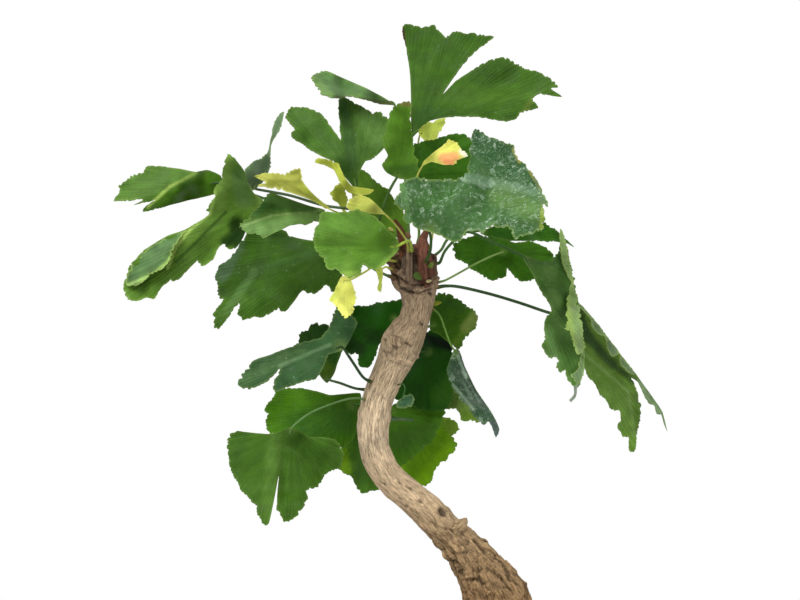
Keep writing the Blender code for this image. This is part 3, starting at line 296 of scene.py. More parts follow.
# Lit, shaded or worn stretches of a blade: its number, both ends, width, colour, strength.
STRETCHES = {
    "top_right": [
        (0, 403, 30, 411, 130, 1.6, (58, 34, 22), 0.95), (0, 412, 135, 430, 118, 14, (44, 80, 30), 0.5),
        (0, 447, 95, 560, 92, 10, (80, 116, 38), 0.35), (0, 532, 100, 520, 118, 3, (120, 130, 60), 0.3)],
    "top_left": [
        (0, 312, 78, 330, 98, 5, (120, 154, 84), 0.6), (0, 335, 98, 392, 104, 2.5, (66, 60, 34), 0.7)],
    "crown_folded": [
        (0, 384, 165, 386, 110, 5, (92, 134, 44), 0.5), (0, 384, 172, 415, 170, 6, (44, 84, 20), 0.5),
        (0, 410, 104, 402, 103, 3, (120, 70, 60), 0.5)],
    "crown_spotted": [
        (0, 474, 138, 512, 166, 16, (42, 78, 40), 0.85), (0, 500, 158, 532, 184, 9, (48, 86, 44), 0.7),
        (0, 470, 184, 534, 199, 2.2, (36, 66, 32), 0.55), (0, 470, 152, 462, 176, 6, (34, 72, 26), 0.6),
        (0, 466, 178, 534, 192, 5, (120, 152, 120), 0.55), (0, 500, 196, 540, 214, 12, (98, 134, 66), 0.6),
        (0, 514, 150, 520, 162, 2.0, (170, 160, 70), 0.6), (0, 530, 172, 541, 190, 1.6, (150, 140, 70), 0.6),
        (0, 543, 208, 541, 228, 2.2, (150, 170, 60), 0.7), (0, 536, 176, 543, 205, 3, (100, 124, 84), 0.5),
        (0, 402, 184, 408, 222, 4, (104, 150, 84), 0.5), (0, 424, 200, 448, 192, 9, (60, 108, 38), 0.5),
        (0, 470, 232, 490, 226, 4, (110, 150, 100), 0.5)],
    "right_dark": [
        (0, 456, 256, 500, 279, 6, (52, 98, 10), 0.5), (0, 520, 250, 550, 258, 7, (60, 104, 20), 0.5)],
    "drooping_inner": [
        (0, 528, 259, 552, 262, 5, (60, 92, 48), 0.5), (0, 548, 268, 560, 330, 6, (92, 124, 62), 0.5),
        (0, 548, 330, 556, 366, 5, (100, 132, 78), 0.35), (1, 566, 300, 572, 345, 4, (150, 178, 84), 0.6),
        (2, 571, 400, 576, 388, 4, (128, 132, 132), 0.7)],
    "drooping_outer": [
        (0, 574, 308, 588, 338, 6, (36, 62, 26), 0.9), (0, 588, 338, 612, 364, 5, (44, 70, 30), 0.9),
        (0, 612, 364, 634, 382, 3, (52, 78, 34), 0.8), (0, 582, 352, 628, 392, 1.6, (120, 148, 84), 0.5),
        (0, 628, 392, 634, 436, 1.6, (118, 146, 84), 0.4), (0, 585, 372, 625, 425, 9, (104, 140, 60), 0.5),
        (0, 637, 395, 639, 430, 4, (66, 96, 30), 0.6), (0, 640, 384, 667, 430, 5, (122, 146, 108), 0.8)],
    "far_left": [
        (0, 152, 207, 219, 177, 9, (60, 102, 6), 0.95), (0, 160, 203, 215, 190, 9, (64, 104, 12), 0.95),
        (0, 148, 207, 170, 187, 1.6, (150, 178, 84), 0.9), (0, 170, 187, 196, 173, 1.6, (150, 178, 84), 0.9),
        (0, 120, 188, 190, 172, 9, (88, 128, 50), 0.3)],
    "left_long": [
        (0, 228, 162, 217, 204, 9, (112, 146, 62), 0.9), (0, 240, 176, 244, 200, 9, (96, 132, 70), 0.7),
        (0, 212, 212, 178, 246, 8, (96, 132, 48), 0.9), (0, 178, 244, 162, 276, 8, (82, 116, 36), 0.7),
        (0, 226, 212, 176, 262, 1.6, (54, 86, 26), 0.8), (0, 222, 220, 182, 262, 1.4, (96, 128, 60), 0.5),
        (0, 215, 192, 210, 214, 1.5, (150, 184, 92), 0.8), (0, 210, 214, 188, 232, 1.5, (150, 184, 92), 0.8),
        (0, 190, 230, 176, 247, 1.8, (164, 194, 96), 0.9), (0, 176, 247, 168, 268, 1.6, (164, 194, 96), 0.9),
        (0, 236, 224, 240, 246, 8, (28, 60, 6), 0.95), (0, 226, 242, 244, 232, 6, (28, 60, 6), 0.95),
        (0, 206, 250, 160, 290, 8, (66, 100, 34), 0.5), (1, 128, 285, 152, 275, 1.6, (156, 190, 104), 0.9),
        (1, 152, 275, 168, 262, 1.6, (156, 190, 100), 0.9),
        (1, 168, 262, 186, 230, 1.6, (156, 190, 96), 0.9), (1, 140, 266, 172, 240, 7, (98, 134, 84), 0.4)],
    "left_upper": [
        (0, 248, 231, 286, 225, 8, (110, 146, 80), 0.95), (0, 286, 222, 318, 216, 6, (104, 140, 70), 0.95),
        (0, 241, 227, 272, 216, 1.3, (136, 164, 100), 0.7),
        (0, 272, 216, 320, 211, 1.3, (128, 156, 90), 0.7), (0, 262, 206, 312, 208, 5, (56, 92, 34), 0.8),
        (0, 256, 214, 268, 200, 5, (60, 98, 44), 0.7), (0, 270, 198, 300, 206, 5, (78, 112, 50), 0.5)],
    "left_lower": [
        (0, 236, 246, 222, 274, 8, (88, 112, 88), 0.55), (0, 325, 250, 255, 272, 5, (68, 104, 46), 0.6),
        (0, 255, 272, 226, 312, 4, (86, 122, 62), 0.7), (0, 220, 318, 242, 300, 6, (80, 112, 44), 0.5),
        (0, 330, 262, 270, 306, 8, (54, 88, 16), 0.5), (0, 262, 232, 300, 246, 6, (54, 84, 36), 0.5)],
    "centre_front": [
        (0, 318, 225, 360, 220, 10, (98, 140, 56), 0.5), (0, 346, 272, 352, 255, 6, (110, 152, 56), 0.5),
        (0, 360, 250, 385, 240, 9, (82, 126, 26), 0.6), (0, 345, 275, 357, 275, 4, (150, 186, 76), 0.7),
        (0, 380, 268, 395, 254, 3, (140, 178, 72), 0.7)],
    "upper_left": [
        (0, 300, 115, 335, 150, 7, (76, 108, 50), 0.5), (0, 344, 105, 352, 165, 6, (52, 86, 40), 0.6),
        (0, 340, 165, 356, 185, 7, (48, 84, 26), 0.7), (0, 365, 118, 380, 140, 10, (94, 130, 62), 0.6)],
    "mid_left": [
        (0, 345, 318, 352, 345, 7, (46, 82, 42), 0.7), (0, 245, 380, 300, 350, 6, (84, 114, 66), 0.5),
        (0, 280, 366, 330, 345, 2, (108, 138, 96), 0.6)],
    "mid_behind": [
        (0, 345, 342, 360, 350, 8, (20, 48, 6), 0.8), (0, 372, 336, 396, 340, 9, (20, 50, 6), 0.7)],
    "mid_hanging": [(0, 320, 362, 332, 378, 8, (66, 90, 10), 0.7)],
    "low_broad": [
        (0, 272, 394, 296, 392, 7, (84, 132, 22), 0.5), (0, 300, 424, 345, 420, 16, (48, 90, 22), 0.6),
        (0, 270, 425, 300, 400, 8, (72, 118, 10), 0.4)],
    "low_hanging": [
        (0, 279, 440, 281, 500, 4, (52, 84, 12), 0.8), (0, 276, 436, 266, 515, 7, (88, 124, 46), 0.5),
        (0, 290, 436, 320, 458, 10, (48, 84, 12), 0.7), (0, 284, 500, 330, 468, 8, (56, 92, 14), 0.5)],
    "low_under_trunk": [
        (0, 342, 452, 346, 470, 6, (124, 170, 20), 0.8), (0, 360, 440, 360, 480, 8, (54, 88, 30), 0.4)],
    "low_fan": [
        (0, 446, 420, 455, 432, 7, (130, 150, 70), 0.5), (0, 412, 470, 440, 440, 8, (84, 130, 14), 0.5)],
    "low_dark": [
        (0, 400, 404, 440, 404, 6, (62, 98, 34), 0.5), (0, 400, 440, 430, 432, 12, (56, 92, 34), 0.5)],
    "right_upper": [
        (0, 466, 328, 476, 316, 6, (132, 148, 74), 0.7), (0, 440, 300, 462, 306, 6, (40, 80, 20), 0.5),
        (0, 455, 345, 462, 336, 5, (100, 130, 40), 0.5)],
    "right_hanging": [
        (0, 458, 356, 466, 378, 1.6, (150, 172, 150), 0.7),
        (0, 462, 372, 480, 402, 1.4, (150, 170, 150), 0.7),
        (0, 455, 372, 472, 398, 1.6, (120, 146, 122), 0.6),
        (0, 452, 384, 474, 410, 1.4, (140, 162, 136), 0.6), (0, 460, 352, 470, 374, 2.2, (36, 58, 40), 0.7),
        (0, 468, 380, 490, 416, 2.2, (38, 62, 40), 0.7), (0, 452, 362, 462, 388, 2.4, (40, 66, 40), 0.7),
        (0, 484, 408, 494, 424, 2.0, (70, 96, 76), 0.6), (0, 492, 425, 498, 434, 5, (84, 92, 100), 0.6)],
    "right_shaded": [
        (0, 424, 338, 452, 346, 6, (6, 22, 8), 0.95), (0, 402, 370, 420, 345, 10, (34, 66, 30), 0.7),
        (0, 440, 395, 452, 385, 10, (52, 94, 12), 0.6)],
    "right_pale": [(0, 462, 416, 480, 418, 6, (96, 134, 20), 0.6)],
    "yellow_orange": [
        (0, 443, 158, 455, 157, 4.5, (236, 165, 104), 0.95), (0, 446, 162, 451, 163, 3, (228, 146, 96), 0.9),
        (0, 430, 158, 424, 166, 4, (160, 172, 60), 0.5), (0, 462, 152, 468, 156, 3, (245, 240, 225), 0.8)],
    "yellow_left": [
        (0, 258, 176, 296, 178, 3, (200, 204, 96), 0.5), (0, 300, 186, 325, 206, 3, (160, 172, 60), 0.6)],
    "yellow_hanging": [(0, 332, 300, 338, 290, 3, (206, 220, 90), 0.6)],
    "yellow_centre": [(0, 350, 206, 376, 212, 3, (150, 164, 60), 0.5)],
}

# Leaves toothed along their long sides too: how toothed these are beside the outer edge, and how
# deep the wider lobes are.
TEETH = {
    "right_hanging": (0.8, 1.2), "drooping_inner": (0.45, 1.4), "drooping_outer": (0.45, 1.6),
    "left_long": (0.45, 1.2), "mid_left": (0.5, 0.8), "crown_spotted": (0.9, 6.5), "left_lower": (0.3, 2.0),
    "centre_front": (0.3, 1.6), "left_upper": (0.2, 2.0), "top_left": (0.3, 2.2), "low_hanging": (0.2, 1.6),
}
PLAIN_TEETH = (0.0, 0.9)
# Across and down: the way that the most toothed edges face.
TOOTHED_WAY = Vector((-0.6, 0.8))

# Widths and colours of stalks that aren't the usual ones.
STALK_WIDTHS = {
    "by_trunk": 0.35, "right_dark": 0.62, "right_hanging": 0.6, "low_hanging": 0.6, "drooping_outer": 0.95,
    "mid_hanging": 0.8, "yellow_left": 0.75, "low_broad": 0.7,
}
STALK_WIDTH = 0.85
STALKS = {
    "crown_folded": (62, 92, 36), "drooping_outer": (58, 84, 48), "right_dark": (122, 152, 78),
    "mid_left": (44, 70, 40), "mid_hanging": (64, 92, 50), "low_hanging": (92, 126, 72),
    "right_hanging": (92, 128, 54), "centre_front": (160, 184, 70), "crown_spotted": (52, 88, 34),
    "right_back": (72, 104, 44), "drooping_inner": (62, 96, 44), "left_lower": (74, 106, 50),
    "low_broad": (74, 112, 50), "by_trunk": (66, 104, 60), "right_shaded": (48, 84, 34),
    "top_right": (84, 118, 52), "top_left": (84, 110, 52), "far_left": (70, 98, 56),
    "left_edge_on": (78, 100, 66),
}
GREEN_STALK = (92, 126, 54)
YELLOW_STALK = (180, 186, 84)
STALK_FOOT = (112, 92, 58)
GREEN_RIM = (158, 184, 96)
YELLOW_RIM = (222, 224, 120)

# Each leaf: where its blades meet the stalk, a place in the wood that the stalk heads for, the
# stalk's points between them, and its blades, each with its outline and the depths that shape it.
# All are across and down in the picture, with a depth in mm.
LEAVES = {
    "top_right": dict(
        base=(412, 137, 16), foot=(417, 250, 2), stalk=[(414, 165, 17), (417, 200, 14), (419, 232, 6)],
        blades=[(
            [(412, 137), (411, 118), (411, 98), (410, 75), (407, 52), (402, 27), (411, 25), (422, 28),
             (433, 26), (445, 37), (453, 33), (463, 32), (478, 35), (494, 37), (477, 50), (465, 62),
             (454, 77), (443, 94), (455, 82), (470, 72), (485, 63), (500, 58), (513, 62), (522, 68),
             (540, 73), (549, 78), (558, 87), (551, 89), (562, 97), (538, 94), (532, 101), (538, 108),
             (522, 112), (514, 120), (500, 121), (480, 117), (450, 117), (430, 121), (418, 132)],
            [(411, 27, 16), (450, 60, 7), (493, 37, 10), (442, 94, 2), (500, 75, 4), (557, 90, -4),
             (510, 119, -8), (450, 118, -2)])]),
    "top_left": dict(
        base=(394, 104, 10), foot=(409, 250, 4), stalk=[(399, 125, 9), (404, 165, 9), (408, 215, 9)],
        blades=[(
            [(395, 105), (381, 96), (367, 89), (352, 82), (338, 76), (326, 71), (317, 73), (312, 78),
             (315, 84), (319, 90), (324, 95), (331, 98), (338, 99), (346, 96), (366, 100), (380, 104)],
            [(345, 82, 14), (318, 72, 14), (313, 79, 2), (331, 98, -14), (360, 99, -9), (380, 98, 4)])]),
    "crown_folded": dict(
        base=(397, 177, -8), foot=(376, 233, -2), stalk=[(393, 184, -9), (388, 194, -10), (382, 211, -10)],
        blades=[(
            [(400, 179), (387, 173), (382, 165), (388, 156), (383, 145), (386, 130), (391, 112), (397, 105),
             (403, 102), (410, 103), (411, 125), (414, 150), (418, 165), (418, 179)],
            [(391, 112, -4), (405, 104, -8), (384, 142, -4), (384, 168, -1), (413, 150, 0),
             (417, 176, 0)]), (
            [(403, 178), (406, 162), (413, 146), (425, 141), (440, 137), (455, 134), (463, 134), (470, 138),
             (473, 150), (472, 164), (470, 178), (452, 181), (440, 181), (420, 179)],
            [(440, 139, 7), (463, 136, 10), (470, 148, 9), (455, 178, 4), (413, 147, 3), (412, 176, 0)])]),
    "crown_spotted": dict(
        base=(430, 230, -27), foot=(425, 264, -7), stalk=[(431, 240, -25), (430, 252, -21)],
        blades=[(
            [(430, 232), (419, 229), (408, 223), (400, 208), (396, 199), (402, 183), (410, 179), (420, 178),
             (430, 181), (450, 179), (466, 176), (470, 150), (474, 131), (478, 130), (486, 135), (503, 142),
             (513, 145), (515, 154), (520, 161), (532, 173), (538, 183), (542, 192), (548, 206), (542, 205),
             (545, 217), (541, 233), (528, 233), (523, 239), (517, 239), (510, 231), (493, 224), (489, 229),
             (480, 233), (468, 229), (464, 237), (456, 239), (447, 238)],
            [(402, 184, 2), (397, 200, -3), (450, 181, 3), (475, 132, 14), (500, 145, 10), (540, 183, 2),
             (545, 217, -6), (520, 238, -12), (458, 239, -5), (470, 205, -2), (490, 180, 4)])]),
    "right_dark": dict(
        base=(503, 252, 9), foot=(420, 288, 0), stalk=[(492, 256, 5), (477, 263, 2), (459, 273, 0),
                                                       (446, 280, 0)],
        blades=[(
            [(516, 243), (500, 238), (475, 236), (458, 240), (453, 248), (456, 256), (463, 262), (475, 270),
             (488, 279), (497, 280), (506, 274), (507, 268), (512, 274), (518, 280), (525, 281), (536, 278),
             (546, 268), (554, 259), (550, 252), (543, 246), (530, 241)],
            [(453, 248, 9), (470, 264, 7), (490, 279, 4), (507, 266, 3), (525, 280, 2), (554, 259, 4),
             (475, 237, 9)])]),
    "right_back": dict(
        base=(480, 231, 26), foot=(424, 264, 2), stalk=[(462, 233, 22), (448, 239, 15), (441, 250, 8)],
        blades=[(
            [(480, 233), (500, 224), (525, 220), (545, 224), (560, 234), (574, 247), (566, 243), (556, 242),
             (545, 241), (520, 241), (500, 240)],
            [(545, 224, 10), (574, 246, 12), (520, 238, -5)])]),
    "drooping_inner": dict(
        base=(524, 257, -8), foot=(420, 270, 0), stalk=[(510, 250, -9), (490, 241, -8), (468, 232, -7),
                                                        (455, 240, -6), (445, 251, -5), (440, 262, -3)],
        blades=[(
            [(522, 256), (533, 275), (540, 290), (552, 308), (550, 313), (545, 320), (544, 330), (545, 337),
             (542, 345), (548, 357), (556, 356), (558, 360), (556, 367), (560, 371), (565, 370), (566, 376),
             (571, 384), (576, 388), (580, 380), (584, 368), (584, 345), (580, 320), (577, 300), (573, 280),
             (569, 260), (564, 240), (561, 240), (559, 252), (553, 260), (540, 261), (530, 257)],
            [(552, 308, -6), (543, 345, -12), (560, 370, -14), (576, 388, -16), (584, 368, -12),
             (583, 345, -6), (577, 300, 0), (569, 260, 4), (563, 240, 5), (545, 261, 1)]), (
            [(560, 229), (563, 232), (565, 240), (569, 260), (573, 280), (577, 300), (580, 320), (584, 345),
             (582, 353), (577, 354), (575, 347), (572, 340), (571, 332), (566, 329), (568, 320), (566, 314),
             (568, 300), (569, 290), (571, 282), (566, 273), (562, 262), (560, 245)],
            [(561, 230, 6), (564, 240, 5), (569, 260, 4), (577, 300, 0), (584, 345, -6), (571, 282, -6),
             (561, 250, -1), (566, 315, -13), (571, 335, -17), (577, 353, -17)]), (
            [(584, 348), (584, 368), (580, 381), (577, 388), (576, 396), (571, 402), (569, 400), (574, 394),
             (574, 387), (576, 382), (571, 376), (577, 370), (580, 358)],
            [(584, 348, -7), (584, 368, -12), (576, 388, -17), (571, 376, -20), (570, 401, -19)])]),
    "drooping_outer": dict(
        base=(568, 316, 8), foot=(419, 290, 0), stalk=[(550, 313, 7), (520, 303, 5), (490, 294, 3),
                                                       (460, 287, 1), (446, 286, 0)],
        blades=[(
            [(566, 316), (574, 340), (585, 369), (588, 376), (595, 384), (600, 395), (605, 399), (608, 405),
             (612, 409), (620, 412), (621, 420), (617, 427), (621, 432), (623, 437), (628, 436), (629, 451),
             (635, 450), (636, 436), (640, 415), (639, 400), (635, 387), (631, 378), (638, 382), (643, 393),
             (649, 403), (654, 405), (657, 414), (661, 414), (664, 424), (667, 431), (662, 412), (653, 398),
             (637, 376), (624, 359), (610, 341), (599, 326), (589, 314), (578, 302), (570, 306)],
            [(585, 369, 0), (605, 399, -4), (620, 412, -7), (632, 445, -12), (640, 410, -4), (631, 378, 4),
             (590, 314, 6), (612, 341, 8), (638, 376, 9), (655, 399, 8), (667, 430, 4), (577, 303, 4)]), (
            [(576, 304), (578, 302), (589, 314), (599, 326), (610, 341), (624, 359), (637, 376), (631, 374),
             (626, 371), (620, 363), (619, 354), (612, 356), (607, 348), (605, 337), (598, 334), (592, 327),
             (590, 319), (583, 311)],
            [(578, 302, 4), (590, 314, 6), (612, 341, 8), (638, 376, 9), (590, 322, -1), (605, 338, -2),
             (612, 355, -2), (626, 370, 1)])]),
    "far_left": dict(
        base=(220, 183, 8), foot=(378, 237, -2), stalk=[(240, 190, 9), (280, 204, 10), (320, 217, 9),
                                                        (355, 230, 5)],
        blades=[(
            [(222, 184), (221, 176), (208, 170), (195, 172), (180, 169), (155, 166), (148, 167), (140, 174),
             (131, 177), (119, 186), (121, 191), (114, 201), (130, 200), (143, 200), (134, 205), (155, 200),
             (143, 209), (144, 212), (170, 205), (190, 200), (215, 194)],
            [(208, 171, 4), (150, 168, 14), (119, 188, 10), (114, 201, 6), (143, 200, 0), (157, 200, -3),
             (175, 189, -4), (192, 176, -2), (144, 211, 3), (190, 200, 7), (213, 194, 3)])]),
    "left_long": dict(
        base=(262, 205, -3), foot=(368, 224, -2), stalk=[(285, 213, -4), (315, 220, -5), (345, 224, -5)],
        blades=[(
            [(266, 206), (263, 200), (253, 192), (245, 172), (235, 159), (228, 154), (225, 162), (223, 177),
             (214, 190), (216, 197), (208, 209), (209, 215), (190, 227), (182, 231), (167, 236), (146, 249),
             (132, 263), (127, 276), (124, 291), (130, 299), (138, 301), (148, 297), (155, 298), (161, 288),
             (171, 280), (178, 280), (186, 272), (197, 261), (202, 266), (213, 260), (217, 250), (223, 244),
             (228, 248), (236, 248), (243, 238), (248, 226), (256, 212)],
            [(228, 156, -14), (245, 172, -7), (214, 190, -7), (185, 230, -1), (146, 249, 6), (127, 280, 9),
             (155, 296, 3), (186, 270, 1), (215, 255, 3), (244, 222, 2), (230, 210, -1)]), (
            [(188, 229), (182, 232), (168, 237), (147, 250), (133, 264), (128, 277), (127, 286), (140, 284),
             (151, 274), (163, 268), (169, 261), (174, 247), (182, 236)],
            [(185, 230, -1), (167, 237, 3), (146, 249, 6), (132, 263, 8), (127, 280, 9), (140, 283, 0),
             (163, 268, -6), (174, 247, -6)])]),
    "left_upper": dict(
        base=(322, 212, -17), foot=(361, 214, -2), stalk=[(333, 215, -16), (347, 216, -11)],
        blades=[(
            [(325, 210), (310, 206), (295, 201), (275, 194), (268, 194), (264, 201), (256, 210), (247, 219),
             (240, 227), (249, 234), (257, 233), (264, 238), (278, 231), (290, 226), (305, 225), (320, 219)],
            [(300, 209, -1), (272, 195, -2), (241, 227, 2), (262, 236, -8), (290, 226, -8),
             (270, 212, 1)])]),
    "left_lower": dict(
        base=(341, 243, 8), foot=(417, 286, 0), stalk=[(358, 257, 5), (374, 269, 1), (386, 275, -1)],
        blades=[(
            [(344, 242), (330, 240), (315, 241), (301, 239), (291, 236), (283, 230), (265, 227), (250, 232),
             (241, 242), (236, 251), (230, 259), (218, 267), (216, 276), (217, 290), (222, 301), (215, 311),
             (214, 326), (220, 328), (226, 320), (234, 309), (239, 302), (240, 308), (237, 315), (247, 319),
             (258, 316), (270, 314), (276, 309), (286, 311), (293, 303), (303, 290), (315, 294), (326, 285),
             (334, 292), (342, 278), (343, 260)],
            [(283, 232, 10), (241, 242, 13), (218, 270, 6), (215, 322, -7), (240, 313, -6), (286, 308, -12),
             (334, 288, -8), (285, 262, -2)])]),
    "centre_front": dict(
        base=(396, 247, -24), foot=(412, 256, 0), stalk=[(403, 243, -25), (409, 241, -21), (411, 244, -14)],
        blades=[(
            [(399, 249), (398, 240), (390, 232), (380, 221), (372, 215), (362, 211), (350, 212), (335, 213),
             (323, 212), (319, 220), (313, 236), (314, 245), (322, 258), (330, 269), (343, 273), (349, 277),
             (355, 277), (360, 274), (363, 264), (369, 268), (378, 268), (385, 264), (394, 255)],
            [(372, 216, -4), (335, 214, -7), (314, 240, -14), (345, 275, -18), (384, 266, -10),
             (355, 240, -8)])]),
    "upper_left": dict(
        base=(356, 187, 4), foot=(355, 206, -2), stalk=[(356, 193, 3)],
        blades=[(
            [(357, 190), (344, 176), (334, 162), (321, 156), (311, 150), (298, 141), (291, 136), (294, 128),
             (286, 117), (291, 108), (305, 108), (321, 114), (333, 129), (341, 140), (339, 115), (339, 100),
             (344, 97), (357, 105), (368, 110), (373, 114), (378, 112), (384, 116), (388, 121), (386, 135),
             (384, 148), (375, 157), (365, 162), (359, 174)],
            [(291, 109, 14), (291, 137, 2), (320, 130, 7), (341, 141, 2), (342, 100, 12), (384, 121, 5),
             (384, 148, 1), (335, 160, -2)])]),
    "left_edge_on": dict(
        base=(253, 188, -13), foot=(357, 209, -2), stalk=[(272, 192, -12), (292, 196, -11), (322, 205, -11),
                                                          (342, 208, -10)],
        blades=[(
            [(252, 191), (247, 180), (245, 170), (252, 163), (267, 154), (271, 138), (273, 127), (278, 116),
             (284, 112), (281, 127), (276, 136), (271, 146), (270, 168), (263, 182)],
            [(284, 113, 12), (271, 138, 6), (247, 170, -10), (269, 168, 7)])]),
    "centre_behind": dict(
        base=(399, 233, 20), foot=(411, 254, 3), stalk=[(404, 242, 14)],
        blades=[(
            [(402, 238), (390, 236), (375, 226), (362, 212), (354, 195), (359, 169), (374, 179), (388, 191),
             (401, 206), (408, 225), (409, 233)],
            [(358, 174, 10), (387, 193, 5), (362, 210, 2)])]),
    "mid_left": dict(
        base=(342, 347, -14), foot=(381, 388, 0), stalk=[(348, 355, -13), (354, 364, -11), (363, 377, -8)],
        blades=[(
            [(343, 350), (328, 355), (324, 366), (316, 378), (300, 383), (288, 387), (277, 391), (273, 387),
             (281, 368), (268, 380), (250, 389), (239, 386), (243, 374), (255, 360), (270, 355), (300, 343),
             (320, 338), (330, 325), (337, 307), (345, 312), (357, 321), (355, 329), (350, 340)],
            [(337, 308, 10), (356, 322, 8), (300, 344, 6), (241, 382, 0), (275, 388, -10), (316, 377, -9),
             (281, 368, -3)])]),
    "mid_behind": dict(
        base=(394, 318, 13), foot=(411, 322, 3), stalk=[(399, 319, 11)],
        blades=[(
            [(406, 317), (406, 300), (392, 301), (380, 303), (366, 306), (353, 306), (349, 316), (345, 328),
             (343, 346), (350, 353), (359, 354), (358, 364), (368, 368), (375, 357), (378, 347), (384, 338),
             (390, 328)],
            [(355, 308, 10), (346, 336, 4), (364, 366, -2)])]),
    "mid_hanging": dict(
        base=(327, 379, 4), foot=(380, 392, 0), stalk=[(340, 383, 2), (354, 388, 0)],
        blades=[(
            [(327, 383), (319, 374), (318, 360), (305, 352), (299, 342), (302, 333), (315, 324), (328, 326),
             (340, 335), (342, 350), (338, 362), (334, 374)],
            [(302, 335, 8), (328, 326, 10), (341, 345, 7)])]),
    "low_broad": dict(
        base=(352, 405, 11), foot=(377, 404, 3), stalk=[(359, 404, 10)],
        blades=[(
            [(361, 403), (360, 393), (342, 394), (330, 395), (316, 391), (295, 388), (277, 389), (274, 397),
             (265, 408), (268, 413), (266, 422), (270, 433), (285, 436), (310, 442), (330, 448), (345, 447),
             (354, 436), (359, 420)],
            [(275, 395, 9), (268, 425, 4), (320, 443, -2), (345, 446, -1), (310, 412, 1)])]),
    "low_hanging": dict(
        base=(291, 429, -20), foot=(376, 402, 0), stalk=[(300, 420, -19), (314, 411, -18), (340, 401, -14),
                                                         (356, 398, -9)],
        blades=[(
            [(291, 427), (280, 431), (270, 434), (245, 432), (236, 431), (228, 440), (229, 462), (235, 478),
             (242, 490), (253, 502), (258, 514), (262, 522), (269, 523), (275, 495), (279, 475), (277, 505),
             (284, 521), (296, 516), (305, 503), (308, 498), (306, 490), (316, 487), (324, 477), (331, 470),
             (341, 466), (343, 455), (336, 440), (322, 437), (310, 437), (300, 432)],
            [(240, 434, 5), (229, 460, 4), (266, 522, -10), (279, 475, -4), (288, 518, -10), (341, 462, 5),
             (310, 438, 3)])]),
    "low_under_trunk": dict(
        base=(367, 424, 15), foot=(373, 412, 2), stalk=[(369, 419, 13)],
        blades=[(
            [(371, 420), (360, 421), (348, 431), (342, 444), (339, 456), (338, 469), (350, 475), (357, 487),
             (363, 493), (378, 490), (384, 480), (378, 460), (374, 440)],
            [(342, 468, -2), (363, 492, -1), (382, 482, 4), (351, 440, 0)])]),
    "low_fan": dict(
        base=(404, 424, 29), foot=(375, 418, 2), stalk=[(394, 421, 24), (384, 419, 17)],
        blades=[(
            [(401, 424), (404, 417), (420, 415), (443, 417), (453, 420), (460, 429), (453, 436), (456, 446),
             (446, 459), (440, 463), (434, 471), (431, 482), (425, 486), (408, 481), (391, 466), (388, 440)],
            [(443, 418, 4), (458, 430, 2), (447, 458, -3), (427, 484, -4), (404, 468, 0)])]),
    "low_dark": dict(
        base=(392, 411, 15), foot=(376, 408, 2), stalk=[(386, 410, 13)],
        blades=[(
            [(389, 411), (394, 404), (410, 400), (428, 400), (445, 405), (443, 415), (441, 425), (436, 435),
             (430, 443), (420, 452), (408, 461), (394, 470), (384, 456), (383, 440), (389, 425)],
            [(428, 401, 4), (445, 406, 3), (441, 427, 0), (408, 460, -1), (392, 440, 0)])]),
    "right_upper": dict(
        base=(433, 325, 12), foot=(414, 330, 2), stalk=[(427, 327, 11)],
        blades=[(
            [(430, 330), (430, 318), (433, 305), (436, 295), (445, 293), (460, 301), (474, 311), (478, 321),
             (472, 331), (465, 337), (458, 349), (448, 342), (438, 334)],
            [(445, 294, 4), (475, 320, -2), (458, 347, -1)])]),
    "right_hanging": dict(
        base=(456, 353, -4), foot=(424, 299, 2), stalk=[(450, 343, -5), (445, 329, -3), (440, 316, 0)],
        blades=[(
            [(454, 350), (459, 350), (465, 367), (476, 390), (491, 412), (499, 428), (496, 437), (490, 422),
             (484, 425), (476, 418), (468, 408), (458, 395), (448, 378), (448, 366)],
            [(450, 372, -4), (470, 408, -10), (496, 432, -6), (484, 424, -9), (478, 393, 6),
             (465, 367, 3)])]),
    "right_shaded": dict(
        base=(428, 352, 17), foot=(402, 352, 2), stalk=[(420, 352, 14)],
        blades=[(
            [(418, 348), (422, 336), (431, 330), (443, 334), (451, 346), (454, 362), (456, 378), (452, 394),
             (448, 407), (432, 411), (414, 406), (397, 400), (394, 388), (399, 375), (409, 362)],
            [(440, 339, 3), (454, 378, -1), (430, 406, -3), (403, 394, -2)])]),
    "right_pale": dict(
        base=(453, 373, 23), foot=(404, 344, 4), stalk=[(444, 362, 27), (430, 350, 27), (415, 345, 18)],
        blades=[(
            [(450, 368), (444, 380), (441, 396), (448, 410), (456, 408), (463, 421), (470, 420), (480, 422),
             (479, 410), (474, 395), (465, 378), (456, 368)],
            [(442, 394, 0), (466, 420, -7), (479, 418, -6)])]),
    "by_trunk": dict(
        base=(401, 402, -5), foot=(387, 386, 0), stalk=[(403, 396, -6), (405, 389, -7), (403, 384, -6)],
        blades=[(
            [(397, 402), (404, 396), (411, 394), (415, 400), (412, 405), (408, 408), (400, 408)],
            [(411, 395, 2), (409, 407, -3)])]),
    "yellow_top": dict(
        base=(420, 134, -2), foot=(419, 256, -2), stalk=[(418, 150, 6), (421, 185, 4), (425, 222, 1)],
        blades=[(
            [(418, 132), (425, 124), (435, 121), (445, 118), (444, 124), (440, 132), (434, 139), (424, 140)],
            [(444, 119, -6), (436, 138, -8)])]),
    "yellow_orange": dict(
        base=(424, 164, -15), foot=(429, 262, -3), stalk=[(417, 178, -14), (418, 200, -13), (432, 226, -11)],
        blades=[(
            [(422, 166), (424, 161), (432, 154), (440, 148), (449, 140), (456, 143), (460, 148), (468, 156),
             (460, 158), (455, 164), (444, 165), (432, 162)],
            [(449, 141, -2), (468, 156, -6), (448, 164, -9)])]),
    "yellow_left": dict(
        base=(326, 207, -21), foot=(364, 218, -2), stalk=[(336, 212, -20), (350, 216, -14)],
        blades=[(
